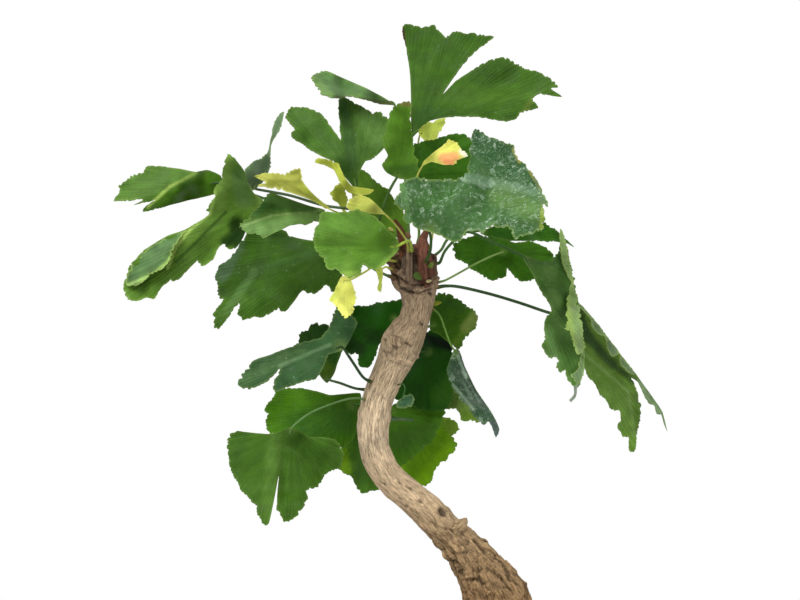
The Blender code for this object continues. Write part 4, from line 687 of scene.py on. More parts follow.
            [(329, 207), (320, 200), (310, 191), (303, 182), (300, 168), (292, 172), (285, 175), (268, 174),
             (254, 176), (266, 182), (258, 186), (275, 188), (291, 193), (306, 198), (317, 203), (326, 209)],
            [(300, 169, 4), (254, 177, 2), (260, 186, -5), (295, 195, -4)])]),
    "yellow_twisted": dict(
        base=(352, 189, -12), foot=(354, 205, -2), stalk=[(353, 196, -11)],
        blades=[(
            [(315, 163), (318, 158), (328, 160), (338, 164), (345, 178), (352, 186), (364, 188), (374, 190),
             (368, 194), (358, 195), (348, 192), (340, 182), (334, 170), (325, 165)],
            [(316, 160, -8), (336, 165, -2), (342, 184, -5), (373, 190, -6)])]),
    "yellow_centre": dict(
        base=(381, 211, -24), foot=(410, 258, -3), stalk=[(390, 219, -23), (398, 228, -20), (406, 240, -14)],
        blades=[(
            [(347, 203), (353, 198), (360, 195), (370, 199), (378, 206), (385, 214), (374, 214), (360, 211),
             (350, 210)],
            [(349, 205, -4), (361, 196, 2), (362, 211, -5)])]),
    "yellow_small": dict(
        base=(342, 208, -3), foot=(358, 210, -1), stalk=[(347, 213, -3)],
        blades=[(
            [(341, 183), (334, 188), (330, 195), (333, 200), (338, 203), (344, 213), (347, 203), (345, 191)],
            [(340, 184, -6), (331, 196, -3), (345, 196, 0)])]),
    "yellow_hanging": dict(
        base=(344, 281, -14), foot=(402, 262, 0), stalk=[(352, 279, -14), (368, 270, -14), (382, 260, -12)],
        blades=[(
            [(341, 277), (346, 276), (351, 280), (354, 289), (356, 298), (354, 306), (352, 312), (345, 318),
             (340, 312), (337, 306), (330, 300), (334, 292), (337, 285)],
            [(355, 300, 3), (344, 316, -6), (331, 300, -3)])]),
    "yellow_tiny": dict(
        base=(381, 270, -6), foot=(403, 274, 0), stalk=[(386, 267, -6)],
        blades=[(
            [(375, 268), (380, 265), (383, 271), (382, 282), (381, 291), (377, 290), (379, 280)],
            [(378, 289, -3)])]),
}

# Area lamps: place, size and power.
LAMPS = {"key": ((-0.55, -0.75, 1.15), 0.7, 13.0), "fill": ((0.9, -0.8, 0.5), 0.9, 3.0)}
LAMP_AIM = Vector((-0.02, 0, 0.25))
WORLD_LIGHT = 0.62
LENS = 85
SENSOR = 36
WHITE = (1, 1, 1)
# The floor's radius and height, in mm.
FLOOR_RADIUS = 480
FLOOR_LEVEL = -0.3

# Halvings of a range when a depth or a foot is looked for.
HALVINGS = 30

Ring = namedtuple("Ring", "centre radius length side up ahead limb")


# Small helpers


def clamp(value, low=0.0, high=1.0):
    return max(low, min(high, value))


def wave(x, y, z):
    """Smooth noise at a place, from -1 to 1."""
    return noise.noise(Vector((x, y, z)))


def blend(a, b, share):
    return tuple(p + (q - p) * share for p, q in zip(a, b))


def between(stops, down):
    """The stops above and below a height, and how far it lies from the one to the other."""
    for (top, above), (low, below) in zip(stops, stops[1:]):
        if down <= low:
            return above, below, max(0.0, (down - top) / (low - top))
    return below, below, 0.0


def off_line(spot, ax, ay, bx, by):
    """Distance in the picture from a place to a line between two ends."""
    vx, vy = bx - ax, by - ay
    t = clamp(((spot[0] - ax) * vx + (spot[1] - ay) * vy) / (vx * vx + vy * vy))
    return math.hypot(spot[0] - ax - vx * t, spot[1] - ay - vy * t)


def polar(spot, base):
    """Distance and turn in the picture from a leaf's base to a place."""
    x, y = spot[0] - base[0], spot[1] - base[1]
    return math.hypot(x, y), math.atan2(y, x)


def curved(a, b, c, d, t):
    """A place on the rounded curve from b to c, with a before them and d after."""
    return 0.5 * (2 * b + (c - a) * t + (2 * a - 5 * b + 4 * c - d) * t * t
                  + (3 * b - a - 3 * c + d) * t ** 3)


def search_tree(places):
    """The places, kept so that the nearest ones are found quickly."""
    tree = KDTree(len(places))
    for i, place in enumerate(places):
        tree.insert(place, i)
    tree.balance()
    return tree


def linear(r, g, b):
    """A colour given as screen values."""
    return tuple((c / 255 / 12.92) if c <= 10 else ((c / 255 + 0.055) / 1.055) ** 2.4
                 for c in (r, g, b))


# Places in the picture and in the part, and the wood's plain form


def at(across, down, depth):
    """A picture point at a depth, as a point of the part."""
    y = depth * MM
    reach = UNIT * (1 + y / VIEW_DISTANCE)
    return Vector((MIDDLE_X + (across - MIDDLE_ACROSS) * reach, y,
                   MIDDLE_Z + (MIDDLE_DOWN - down) * reach))


def picture_place(point):
    """Across and down of a point as the front view shows it."""
    reach = UNIT * (1 + point.y / VIEW_DISTANCE)
    return (MIDDLE_ACROSS + (point.x - MIDDLE_X) / reach, MIDDLE_DOWN - (point.z - MIDDLE_Z) / reach)


def sway(down):
    """Depth of the trunk's middle at a height, blended between the given ones."""
    above, below, t = between(TRUNK_SWAY, down)
    return above + (below - above) * t * t * (3 - 2 * t)


def limb_chain(points):
    return [(at(x, y, d), r * MM) for x, y, d, r in points]


def trunk_chain():
    chain = []
    for left, right in TRUNK_EDGES:
        radius = math.dist(left, right) / 2 * UNIT
        down = (left[1] + right[1]) / 2
        chain.append((at((left[0] + right[0]) / 2, down, sway(down)), radius))
    return chain + limb_chain(TRUNK_BASE)


def domed(chain):
    """A chain with a rounded end added after its last point."""
    end, radius = chain[-1]
    ahead = (end - chain[-2][0]).normalized()
    return chain + [(end + ahead * radius * out, radius * wide) for out, wide in DOME]


WOOD = [trunk_chain()] + [limb_chain(points) for points in LIMBS.values()]


def to_wood(point):
    """Distance from a point to the nearest wood."""
    nearest = 1.0
    for chain in WOOD:
        for (a, ra), (b, rb) in zip(chain, chain[1:]):
            along = b - a
            t = clamp((point - a).dot(along) / along.length_squared)
            nearest = min(nearest, (point - a - along * t).length - (ra + (rb - ra) * t))
    return nearest


def foot_of(start, inside, radius):
    """Where the flat end of a stalk from start toward a point in the wood is a gap off the bark."""
    side = (inside - start).orthogonal().normalized()
    up = side.cross((inside - start).normalized())
    rim = [(side * math.cos(k) + up * math.sin(k)) * radius for k in range(7)]
    low, high = 0.0, 1.0
    for _ in range(HALVINGS):
        middle = (low + high) / 2
        spot = start.lerp(inside, middle)
        if min(to_wood(spot + r) for r in rim) > FOOT_GAP:
            low = middle
        else:
            high = middle
    return start.lerp(inside, low)


def smooth(points, steps):
    """Points along a rounded curve through the given ones."""
    padded = [points[0] * 2 - points[1]] + points + [points[-1] * 2 - points[-2]]
    curve = [curved(*padded[i - 1:i + 3], k / steps) for i in range(1, len(points)) for k in range(steps)]
    return curve + [points[-1]]


def spread(x, y, depth):
    """A point of a leaf, set out in depth as far as real leaves are."""
    return at(x, y, depth * SPREAD)


def depth_at(point, base, form):
    """Depth of a blade at a picture point, blended from the points that set it."""
    total, weight = 0.0, 0.0
    for x, y, d in [(base[0], base[1], 0.0)] + form:
        w = ((point[0] - x) ** 2 + (point[1] - y) ** 2 + SOFTENING) ** FALL_OFF
        total += w * d
        weight += w
    away, turn = polar(point, base)
    pleat = PLEAT_DEPTH * math.sin(PLEATS * turn) * min(1.0, away / PLEAT_REACH) ** 1.5
    return base[2] + total / weight + pleat


# Materials


class Nodes:
    """Short calls that make and link the nodes of one tree."""

    def __init__(self, tree):
        self.tree = tree

    def fill(self, socket, value):
        """Links a socket to another one's value, or sets its own."""
        if isinstance(value, bpy.types.NodeSocket):
            self.tree.links.new(value, socket)
        else:
            socket.default_value = (*value, 1.0) if socket.type == "RGBA" else value

    def make(self, kind, inputs, **settings):
        made = self.tree.nodes.new(kind)
        for name, value in settings.items():
            setattr(made, name, value)
        for key, value in inputs.items():
            self.fill(made.inputs[key], value)
        return made

    def calc(self, operation, *values, **settings):
        inputs = dict(enumerate(values))
        return self.make("ShaderNodeMath", inputs, operation=operation, **settings).outputs[0]

    def total(self, first, *others):
        for other in others:
            first = self.calc("ADD", first, other)
        return first

    def times(self, a, b):
        return self.calc("MULTIPLY", a, b)

    def ramp(self, value, low, high, to_low=0.0, to_high=1.0):
        """A smooth step between two values of another one."""
        inputs = {"Value": value, "From Min": low, "From Max": high, "To Min": to_low, "To Max": to_high}
        return self.make("ShaderNodeMapRange", inputs, interpolation_type="SMOOTHSTEP").outputs["Result"]

    def mix(self, kind, factor, a, b):
        inputs = {0: factor, 6: a, 7: b}
        return self.make("ShaderNodeMix", inputs, data_type="RGBA", blend_type=kind).outputs[2]

    def shaded(self, colour, shade):
        """A colour made lighter or darker."""
        grey = self.make("ShaderNodeCombineColor", {0: shade, 1: shade, 2: shade}).outputs[0]
        return self.mix("MULTIPLY", 1.0, colour, grey)

    def noise(self, vector, scale, detail=3.0, rough=0.5, distort=0.0, stretch=None, output=0):
        if stretch:
            vector = self.make("ShaderNodeMapping", {"Scale": stretch, "Vector": vector}).outputs[0]
        inputs = {"Vector": vector, "Scale": scale, "Detail": detail, "Roughness": rough,
                  "Distortion": distort}
        return self.make("ShaderNodeTexNoise", inputs).outputs[output]

    def cells(self, vector, scale):
        return self.make("ShaderNodeTexVoronoi", {"Vector": vector, "Scale": scale, "Randomness": 1.0})

    def choose(self, factor, a, b):
        """One shader or the other by a factor."""
        return self.make("ShaderNodeMixShader", {0: factor, 1: a, 2: b}).outputs[0]


class Paint(Nodes):
    """A material with one shader, and short calls for its nodes."""

    def __init__(self, name):
        self.material = bpy.data.materials.new(name)
        self.material.use_nodes = True
        super().__init__(self.material.node_tree)
        self.shader = self.tree.nodes["Principled BSDF"]

    def carried(self, name, output):
        """A value that the mesh carries at each point."""
        return self.make("ShaderNodeAttribute", {}, attribute_name=name).outputs[output]

    def place(self, kind="Object"):
        return self.make("ShaderNodeTexCoord", {}).outputs[kind]

    def coat(self, colour, roughness, gloss=None, bump=None):
        """Sets the shader; bump is a height, a strength and a distance."""
        self.fill(self.shader.inputs["Base Color"], colour)
        self.fill(self.shader.inputs["Roughness"], roughness)
        if gloss is not None:
            self.fill(self.shader.inputs["Specular IOR Level"], gloss)
        if bump:
            made = self.make("ShaderNodeBump", dict(zip(("Height", "Strength", "Distance"), bump)))
            self.fill(self.shader.inputs["Normal"], made.outputs[0])
        return self.material


def leaf_material(name, rough, vein_depth, gloss):
    """Fine radial veins from the leaf's own turn and reach, with mottling, flecks and dried drops."""
    paint = Paint(name)
    speck = paint.carried("speck", "Fac")
    uv, solid = paint.place("UV"), paint.place()
    broad = paint.noise(uv, 1.0, 3, 0.6, stretch=(16, 0.9, 1))
    fine = paint.noise(uv, 1.0, 3, 0.65, stretch=(90, 1.4, 1))
    wander = paint.noise(uv, 1.0, 2, stretch=(9, 2.5, 1))
    across = paint.make("ShaderNodeSeparateXYZ", {0: uv}).outputs[0]
    turn = paint.total(paint.times(across, VEINS), paint.times(wander, VEIN_WANDER))
    ridge = paint.total(paint.times(paint.calc("SINE", turn), 0.20), fine)
    mottle = paint.noise(solid, 130.0, 4, 0.6)
    grain = paint.noise(solid, 900.0, 3, 0.7)
    shade = paint.total(paint.ramp(broad, 0.3, 0.7, 0.93, 1.05), paint.ramp(ridge, 0.2, 0.85, -0.11, 0.11),
                        paint.ramp(mottle, 0.3, 0.7, -0.12, 0.12), paint.ramp(grain, 0.3, 0.7, -0.07, 0.07))
    colour = paint.shaded(paint.carried("tint", "Color"), shade)
    worn = paint.calc("MAXIMUM", drops(paint, solid, 900.0, 0.46, 0.75, 0.95),
                      drops(paint, solid, 430.0, 0.40, 0.5, 0.75))
    worn = paint.calc("MAXIMUM", worn, drops(paint, solid, 210.0, 0.42, 0.5, 0.42))
    patchy = paint.noise(solid, 60.0, 3, 0.6)
    worn = paint.times(worn, paint.ramp(patchy, 0.36, 0.55, 0.3, 1.0))
    worn = paint.times(worn, paint.ramp(speck, 0.25, 1.0))
    flecks = paint.times(drops(paint, solid, 520.0, 0.26, 0.2, 0.5), paint.ramp(speck, 0.0, 0.3))
    worn = paint.calc("MAXIMUM", worn, flecks, use_clamp=True)
    colour = paint.mix("MIX", paint.times(worn, 0.85), colour, linear(172, 196, 168))
    smear = paint.times(paint.ramp(speck, 0.3, 1.0), -0.12)
    roughness = paint.total(paint.ramp(mottle, 0.2, 0.8, rough - 0.06, rough + 0.10), smear)
    return paint.coat(colour, roughness, gloss, (ridge, 0.55, vein_depth))


def drops(paint, solid, scale, radius, share, height):
    """Scattered round marks: a share of the cells of a cell pattern, each with uneven edges."""
    unevenness = paint.noise(solid, scale * 2.4, 1.0, output="Color")
    cells = paint.cells(paint.mix("ADD", 0.004, solid, unevenness), scale)
    chosen = paint.make("ShaderNodeSeparateColor", {0: cells.outputs["Color"]})
    picked = paint.calc("LESS_THAN", chosen.outputs[0], share)
    size = paint.times(chosen.outputs[1], radius)
    inside = paint.calc("LESS_THAN", cells.outputs["Distance"], size)
    return paint.times(paint.times(picked, inside), height)


def bark_material():
    """Cream fibres over brown gaps that follow the wood, with painted shade where the bark is deep and a
    painted highlight on its raised marks and plates.
    """
    paint = Paint("bark")
    grain, deep = paint.carried("grain", "Vector"), paint.carried("deep", "Fac")
    solid = paint.place()
    long = paint.noise(grain, 1700.0, 4, 0.62, 0.9, stretch=(1, 1, 0.10))
    hair = paint.noise(grain, 2600.0, 3, 0.6, 0.5, stretch=(1, 1, 0.12))
    wide = paint.noise(grain, 330.0, 4, 0.6, 0.6, stretch=(1, 1, 0.2))
    fine = paint.noise(solid, 2600.0, 4, 0.65)
    flake = paint.noise(solid, 420.0, 4, 0.6)
    gaps = paint.ramp(long, 0.36, 0.50)
    crests = paint.ramp(long, 0.50, 0.66)
    shade = paint.total(paint.times(gaps, 0.38), paint.times(crests, 0.28),
                        paint.ramp(wide, 0.3, 0.7, 0.40, 0.64), paint.ramp(hair, 0.3, 0.7, -0.20, 0.20),
                        paint.ramp(fine, 0.3, 0.7, -0.10, 0.10))
    # Paler as a painted highlight on raised bark, darker as painted shade in its cracks and seams.
    shade = paint.times(shade, paint.ramp(deep, -0.6, 0.0, 1.35, 1.0))
    shade = paint.times(shade, paint.ramp(deep, 0.0, 1.0, 1.0, 0.26))
    colour = paint.shaded(paint.carried("tone", "Color"), shade)
    colour = paint.mix("MIX", paint.ramp(flake, 0.5, 0.75, 0.0, 0.25), colour, linear(168, 128, 94))
    in_gap = paint.times(paint.calc("SUBTRACT", 1.0, gaps), 0.25)
    colour = paint.mix("MIX", in_gap, colour, linear(104, 72, 44))
    height = paint.total(paint.times(gaps, 0.5), paint.times(crests, 0.4), paint.times(fine, 0.35))
    return paint.coat(colour, 0.86, 0.2, (height, 0.9, 0.0006))


def soil_material():
    """Dark crumbs in browns, with faint green patches."""
    paint = Paint("soil")
    solid = paint.place()
    cells = paint.cells(solid, 330.0)
    fine = paint.noise(solid, 900.0, 4, 0.7)
    moss = paint.ramp(paint.noise(solid, 60.0, 3), 0.5, 0.7, 0.0, 0.35)
    colour = paint.mix("MIX", paint.ramp(fine, 0.35, 0.7), linear(58, 42, 30), linear(116, 92, 66))
    colour = paint.mix("MULTIPLY", 0.7, colour, cells.outputs["Color"])
    colour = paint.mix("MIX", moss, colour, linear(74, 82, 42))
    return paint.coat(colour, 0.95, bump=(paint.total(fine, cells.outputs["Distance"]), 0.9, 0.0012))


def clay_material():
    """Unglazed brown clay in soft bands, with darker flecks."""
    paint = Paint("clay")
    solid = paint.place()
    fine = paint.noise(solid, 1400.0, 4, 0.7)
    broad = paint.noise(solid, 26.0, 4, 0.6, stretch=(1, 1, 3))
    colour = paint.mix("MIX", paint.ramp(broad, 0.3, 0.7), linear(96, 62, 46), linear(128, 88, 66))
    colour = paint.mix("MIX", paint.ramp(fine, 0.6, 0.75, 0.0, 0.5), colour, linear(66, 44, 36))
    return paint.coat(colour, paint.ramp(broad, 0.3, 0.7, 0.5, 0.68), bump=(fine, 0.35, 0.0004))


# Pieces


def made_object(name, mesh):
    obj = bpy.data.objects.new(name, mesh)
    bpy.context.scene.collection.objects.link(obj)
    return obj


def made_solid(name, points, faces, smooth_angle=None):
    """A closed piece whose faces look outward."""
    mesh = bpy.data.meshes.new(name)
    mesh.from_pydata([tuple(p) for p in points], [], faces)
    mesh.validate()
    work = bmesh.new()
    work.from_mesh(mesh)
    if work.calc_volume(signed=True) < 0:
        bmesh.ops.reverse_faces(work, faces=work.faces)
    work.to_mesh(mesh)
    work.free()
    if smooth_angle:
        smooth_shade(mesh, smooth_angle)
    return made_object(name, mesh)


def smooth_shade(mesh, sharp_angle=None):
    mesh.polygons.foreach_set("use_smooth", [True] * len(mesh.polygons))
    if sharp_angle:
        mesh.set_sharp_from_angle(angle=math.radians(sharp_angle))


def carry(mesh, name, kind, field, values):
    """Gives each point of a mesh a value that its material reads."""
    mesh.attributes.new(name, kind, "POINT").data.foreach_set(field, values)


def fit(obj, node_name):
    """Puts a piece in place of its CAD node."""
    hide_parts(node_name)
    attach(obj, "root")


# Leaves


def turning(outline):
    """1 where the outline runs so that its left-hand normal points outward, or else -1."""
    area = sum(ax * by - bx * ay for (ax, ay), (bx, by) in zip(outline, outline[1:] + outline[:1]))
    return 1 if area > 0 else -1


def width_inside(spot, inward, outline, own):
    """How far the blade reaches from a place on its edge, straight inward."""
    least = math.inf
    for i, (b, c) in enumerate(zip(outline, outline[1:] + outline[:1])):
        b, side = Vector(b), Vector(c) - Vector(b)
        cross = inward.cross(side)
        if i == own or abs(cross) < 1e-9:
            continue
        reach = (b - spot).cross(side) / cross
        along = (b - spot).cross(inward) / cross
        if 0 <= along <= 1 and 0 < reach < least:
            least = reach
    return least


def tooth_share(out_reach, way, arm, side_teeth, below):
    """How much of the full teeth an edge has: less along a leaf's sides and near its stalk."""
    across = abs(way.cross(arm.normalized())) if arm.length > 1 else 0
    outer = 0.0 if side_teeth else clamp((out_reach - 0.45) * 6) * 0.7
    across = max(side_teeth * below, outer, min(1.0, across * 2.5 - 0.5))
    return clamp((out_reach - (0.05 if side_teeth else 0.2)) * 6) * across


def tooth(travel, seed, lobe_depth):
    """How far an edge stands out at a distance along it, in picture units."""
    drift = wave(travel * 0.06, seed * 7.3, 2.0)
    scallop = abs(math.sin(travel * SCALLOP_TURN + drift * 5)) ** 0.6 - 0.62
    nick = wave(travel * 0.6, seed * 3.1, 50.0)
    swell = wave(travel * 0.12, seed * 5.1, 20.0)
    size = 0.65 + 1.2 * max(0.0, wave(travel * 0.045, seed * 1.9, 8.0) + 0.3)
    lobe = (abs(math.sin(travel * LOBE_TURN + drift * 2.0)) ** 0.6 - 0.7) * lobe_depth
    return scallop * SCALLOP_DEPTH * size + nick * NICK_DEPTH + swell * SWELL_DEPTH + lobe


def fine_outline(outline, base, seed, teeth):
    """The outline with rounded corners and the teeth and lobes of a leaf's edge."""
    side_teeth, lobe_depth = teeth
    count = len(outline)
    reach = max(math.dist(p, base[:2]) for p in outline)
    fine, travel = [], 0.0
    for i in range(count):
        a, b, c, d = (Vector(outline[(i + k) % count]) for k in (-1, 0, 1, 2))
        length = (c - b).length
        steps = max(1, round(length / EDGE_STEP))
        way = (c - b).normalized()
        out = Vector((way.y, -way.x)) * turning(outline)
        below = clamp(0.4 + out.dot(TOOTHED_WAY))
        for k in range(steps):
            spot = b.lerp(c, k / steps).lerp(curved(a, b, c, d, k / steps), EDGE_ROUNDING)
            arm = spot - Vector(base[:2])
            share = tooth_share(arm.length / reach, way, arm, side_teeth, below)
            share *= min(1.0, width_inside(spot, -out, outline, i) / TOOTHED_WIDTH)
            travel += length / steps
            fine.append(spot + out * tooth(travel, seed, below * lobe_depth) * share)
    return fine


def grid_inside(edge, near_edge):
    """Staggered rows of places inside an edge and clear of it."""
    left, y, low = min(p.x for p in edge), min(p.y for p in edge), max(p.y for p in edge)
    inside, row = [], 0
    while y < low:
        hits = []
        for (ax, ay), (bx, by) in zip(edge, edge[1:] + edge[:1]):
            if (ay > y) != (by > y):
                hits.append((bx - ax) * (y - ay) / (by - ay) + ax)
        hits.sort()
        for start, stop in zip(hits[::2], hits[1::2]):
            x = left + (row % 2) * STEP / 2
            x += math.ceil((start + STEP * 0.5 - x) / STEP) * STEP
            while x < stop - STEP * 0.5:
                if near_edge.find((x, y, 0))[2] > EDGE_CLEARANCE:
                    inside.append(Vector((x, y)))
                x += STEP
        y += ROW_STEP
        row += 1
    return inside


def blade_parts(base, outline, form, seed, lift, teeth):
    """A blade's edge, and its middle surface: picture places, points and triangles."""
    edge = fine_outline(outline, base, seed, teeth)
    near_edge = search_tree([(*p, 0) for p in edge])
    edges = [(i, (i + 1) % len(edge)) for i in range(len(edge))]
    spots, _, cells, _, _, _ = delaunay_2d_cdt(edge + grid_inside(edge, near_edge), edges, [], 1, 1e-4)
    reach = max(math.dist(p, base[:2]) for p in outline)
    middle = []
    for p in spots:
        away, turn = polar(p, base)
        ripple = wave(turn * 4.5, seed * 1.7, away / reach) * (away / reach) ** 2
        fluted = math.sin(turn * 38 + seed) * 0.10 * min(1.0, away / 50)
        middle.append(spread(p[0], p[1], depth_at(p, base, form) + ripple * 0.9 + fluted - lift))
    return edge, near_edge, spots, middle, [tuple(c) for c in cells]


class LeafMesh:
    """One leaf's points with their colour, wear and place on the leaf, and its faces with their side."""

    def __init__(self):
        self.points, self.tint, self.speck, self.uvs = [], [], [], []
        self.faces, self.under = [], []

    def add_point(self, place, tint, speck, uv):
        self.points.append(tuple(place))
        self.tint += (*tint, 1.0)
        self.speck.append(speck)
        self.uvs.append(uv)

    def add_face(self, corners, under=0):
        self.faces.append(corners)
        self.under.append(under)

    def made(self, name):
        mesh = bpy.data.meshes.new(name)
        mesh.from_pydata(self.points, [], self.faces)
        mesh.materials.append(MATERIALS["upper"])
        mesh.materials.append(MATERIALS["lower"])
        mesh.polygons.foreach_set("material_index", self.under)
        smooth_shade(mesh, BLADE_SHARP)
        carry(mesh, "tint", "FLOAT_COLOR", "color", self.tint)
        carry(mesh, "speck", "FLOAT", "value", self.speck)
        corners = [0] * len(mesh.loops)
        mesh.loops.foreach_get("vertex_index", corners)
        layer = mesh.uv_layers.new(name="UVMap")
        layer.data.foreach_set("uv", [v for i in corners for v in self.uvs[i]])
        return made_object(name, mesh)


def leaf_piece(name, base, foot, stalk, blades):
    """One leaf: its blades, thin and two-faced, and its round stalk."""
    node_name = "leaf_" + name
    seed = sum(ord(c) * (i + 1) for i, c in enumerate(node_name)) % 97
    leaf = LeafMesh()
    for index, (outline, form) in enumerate(blades):
        lift = LIFT if index and name != "crown_folded" else 0.0
        teeth = PLAIN_TEETH if index else TEETH.get(name, PLAIN_TEETH)
        parts = blade_parts(base, outline, form, seed + index * 11, lift, teeth)
        add_blade(leaf, name, index, base, seed, *parts)
    add_stalk(leaf, name, *blades[0], base, foot, stalk)
    fit(leaf.made(node_name + "_fine"), node_name)


def is_yellow(name):
    return name.startswith("yellow")


def add_blade(leaf, name, index, base, seed, edge, near_edge, spots, middle, cells):
    """Both faces of a blade and the narrow rim between them."""
    front, back, worn, rim_pale = TINTS[name][index]
    normals = [Vector() for _ in middle]
    for a, b, c in cells:
        turn = (middle[b] - middle[a]).cross(middle[c] - middle[a])
        for i in (a, b, c):
            normals[i] += turn
    facing = sum(n.y for n in normals)
    first, size = len(leaf.points), len(middle)
    centre = sum(edge, Vector((0, 0))) / len(edge)
    _, heading = polar(centre, base)
    reach = max(math.dist(p, base[:2]) for p in edge)
    for side in (1, -1):
        toward_viewer = (side > 0) == (facing < 0)
        colour = linear(*(front if toward_viewer else back))
        for spot, p, n in zip(spots, middle, normals):
            away, turn = polar(spot, base)
            turn = (turn - heading + math.pi) % (2 * math.pi) - math.pi
            rim = near_edge.find((*spot, 0))[2]
            tint = shaded(colour, spot, away / reach, rim, is_yellow(name), seed, rim_pale)
            if toward_viewer:
                tint = stretched_over(tint, spot, name, index)
            leaf.add_point(p + n.normalized() * LEAF_THICK / 2 * side, tint,
                           worn if toward_viewer else worn * BACK_WEAR, (turn, away / VEIN_REACH))
    for a, b, c in cells:
        leaf.add_face((first + a, first + b, first + c), 0 if facing < 0 else 1)
        leaf.add_face((first + size + c, first + size + b, first + size + a), 1 if facing < 0 else 0)
    used = {(c[i], c[(i + 1) % 3]) for c in cells for i in range(3)}
    for a, b in sorted(used):
        if (b, a) not in used:
            leaf.add_face((first + b, first + a, first + a + size, first + b + size))


def shaded(colour, spot, out, rim, yellow, seed, rim_pale):
    """A leaf's colour at a place: a paler rim, partly a painted highlight along the edge, a paler stalk end,
    and uneven between.
    """
    cloud = wave(spot[0] * 0.035, spot[1] * 0.035, seed)
    small = wave(spot[0] * 0.11, spot[1] * 0.11, seed + 30)
    light = 1.0 + 0.20 * cloud + 0.10 * small
    near = max(0.0, 1.0 - rim / 2.0) * rim_pale
    root = max(0.0, 1.0 - out / 0.10) * 0.3
    pale = linear(*(YELLOW_RIM if yellow else GREEN_RIM))
    return tuple(max(0.0, c) for c in blend([c * light for c in colour], pale, min(0.8, near + root)))


def stretched_over(colour, spot, name, index):
    """The colour with the leaf's own lit, shaded or worn stretches laid over it."""
    for number, ax, ay, bx, by, width, paint, strength in STRETCHES.get(name, []):
        far = off_line(spot, ax, ay, bx, by) / width
        if number == index and far < 1.6:
            amount = strength * math.exp(-far ** 4 * 0.9) if far > 0.3 else strength
            colour = blend(colour, linear(*paint), amount)
    return colour


def add_stalk(leaf, name, outline, form, base, foot, stalk):
    radius = (YELLOW_RADIUS if is_yellow(name) else STALK_RADIUS) * STALK_WIDTHS.get(name, STALK_WIDTH)
    behind = SPOTTED_BEHIND if name == "crown_spotted" else 0.0
    path, radii = stalk_path(outline, form, base, foot, stalk, radius, behind)
    ring_points, ring_faces = tube_mesh(path, radii, STALK_SIDES)
    first = len(leaf.points)
    colour = linear(*(YELLOW_STALK if is_yellow(name) else STALKS.get(name, GREEN_STALK)))
    for i, p in enumerate(ring_points):
        along = min(1.0, (i // STALK_SIDES) / (len(path) - 1))
        tint = blend(colour, linear(*STALK_FOOT), max(0.0, (along - 1) / BROWN_SHARE + 1))
        leaf.add_point(p, tint, 0.0, (0.002 * (i % STALK_SIDES), along))
    for face in ring_faces:
        leaf.add_face(tuple(first + i for i in face))


def stalk_path(outline, form, base, foot, stalk, radius, behind):
    """The stalk's middle line and widths, from inside the blade to the bark."""
    centre = Vector((sum(p[0] for p in outline), sum(p[1] for p in outline))) / len(outline)
    inner = Vector(base[:2]).lerp(centre, STALK_ROOT)
    path = [spread(inner.x, inner.y, depth_at(inner, base, form) + behind),
            spread(base[0], base[1], base[2] + behind)]
    path += [spread(*p) for p in stalk]
    inside = at(*foot)
    end = foot_of(path[-1], inside, radius)
    path.append(end)
    free = max(1, len(path) - 3)
    path = smooth(path, STALK_STEPS)
    path.append(end + (inside - end).normalized() * STALK_SUNK)
    radii = []
    for i in range(len(path)):
        along = i / STALK_STEPS
        if along < 1:
            share = 0.36 + 0.34 * along
        elif along < 2:
            share = 0.7 + 0.12 * (along - 1)
        else:
            share = 0.82 + 0.3 * max(0.0, (along - 2) / free - 0.75) / 0.25
        radii.append(radius * share)
    return path, radii


# Round bars


def wall_faces(rings, sides):
    """Faces between rings of points that follow each other."""
    faces = []
    for i in range(rings - 1):
        for k in range(sides):
            a, b = i * sides + k, i * sides + (k + 1) % sides
            faces.append((a, b, b + sides, a + sides))
    return faces


def first_cap(sides):
    return tuple(range(sides))[::-1]


def closed_faces(rings, sides):
    """Faces between rings of points, with a flat face at each end."""
    last = (rings - 1) * sides
    return wall_faces(rings, sides) + [first_cap(sides), tuple(range(last, last + sides))]


def tube_mesh(path, radii, sides):
    """Points and faces of a round bar along a path, with a flat face at each end."""
    points = []
    side = (path[1] - path[0]).normalized().orthogonal().normalized()
    for i, (centre, radius) in enumerate(zip(path, radii)):
        ahead = path[min(i + 1, len(path) - 1)] - path[max(i - 1, 0)]
        ahead.normalize()
        side = (side - ahead * side.dot(ahead)).normalized()
        up = ahead.cross(side)
        for k in range(sides):
            angle = 2 * math.pi * k / sides
            points.append(centre + (side * math.cos(angle) + up * math.sin(angle)) * radius)
    return points, closed_faces(len(path), sides)


# The wood


def fine_chain(chain):
    centres = smooth([p for p, _ in chain], 5)
    radii = smooth([r for _, r in chain], 5)
    return list(zip(centres, radii))


def rings_along(chain, limb):
    """The rings of a chain, each with its own two sides and the way ahead."""
    rings = []
    length, side = 0.0, Vector((1, 0, 0))
    for i, (centre, radius) in enumerate(chain):
        ahead = (chain[min(i + 1, len(chain) - 1)][0] - chain[max(i - 1, 0)][0]).normalized()
        side = (side - ahead * side.dot(ahead)).normalized()
        if i:
            length += (centre - chain[i - 1][0]).length
        rings.append(Ring(centre, radius, length, side, ahead.cross(side), ahead, limb))
    return rings


def plated(place, bend, lump, crack):
    """Height of the coarse plates low on the trunk, and their painted shade: darker in the seams, paler as a
    painted highlight on raised plates.
    """
    x, y, z = place
    plates = Vector((x * 0.29 + bend * 0.3, y * 0.29, z * 0.1 + bend * 0.12))
    distances, centres = noise.voronoi(plates)
    seam = max(0.0, 1.0 - (distances[1] - distances[0]) / 0.2)
    raised = noise.noise(Vector(centres[0]) * 3.1)
    return -seam * 0.7 + raised * 0.9 + lump * 0.6 - 0.5, seam * 0.5 - raised * 0.8 + crack * 0.2


def ring_height(place, down):
    """Height of the rings that go round the trunk, each drifting up and down a little."""
    height = 0.0
    for middle, half, tall in RINGS:
        drift = (down - middle + 4.0 * wave(place.x * 0.15, place.y * 0.15, middle)) / half
        if abs(drift) < 3:
            height += tall * math.exp(-drift * drift)
    return height


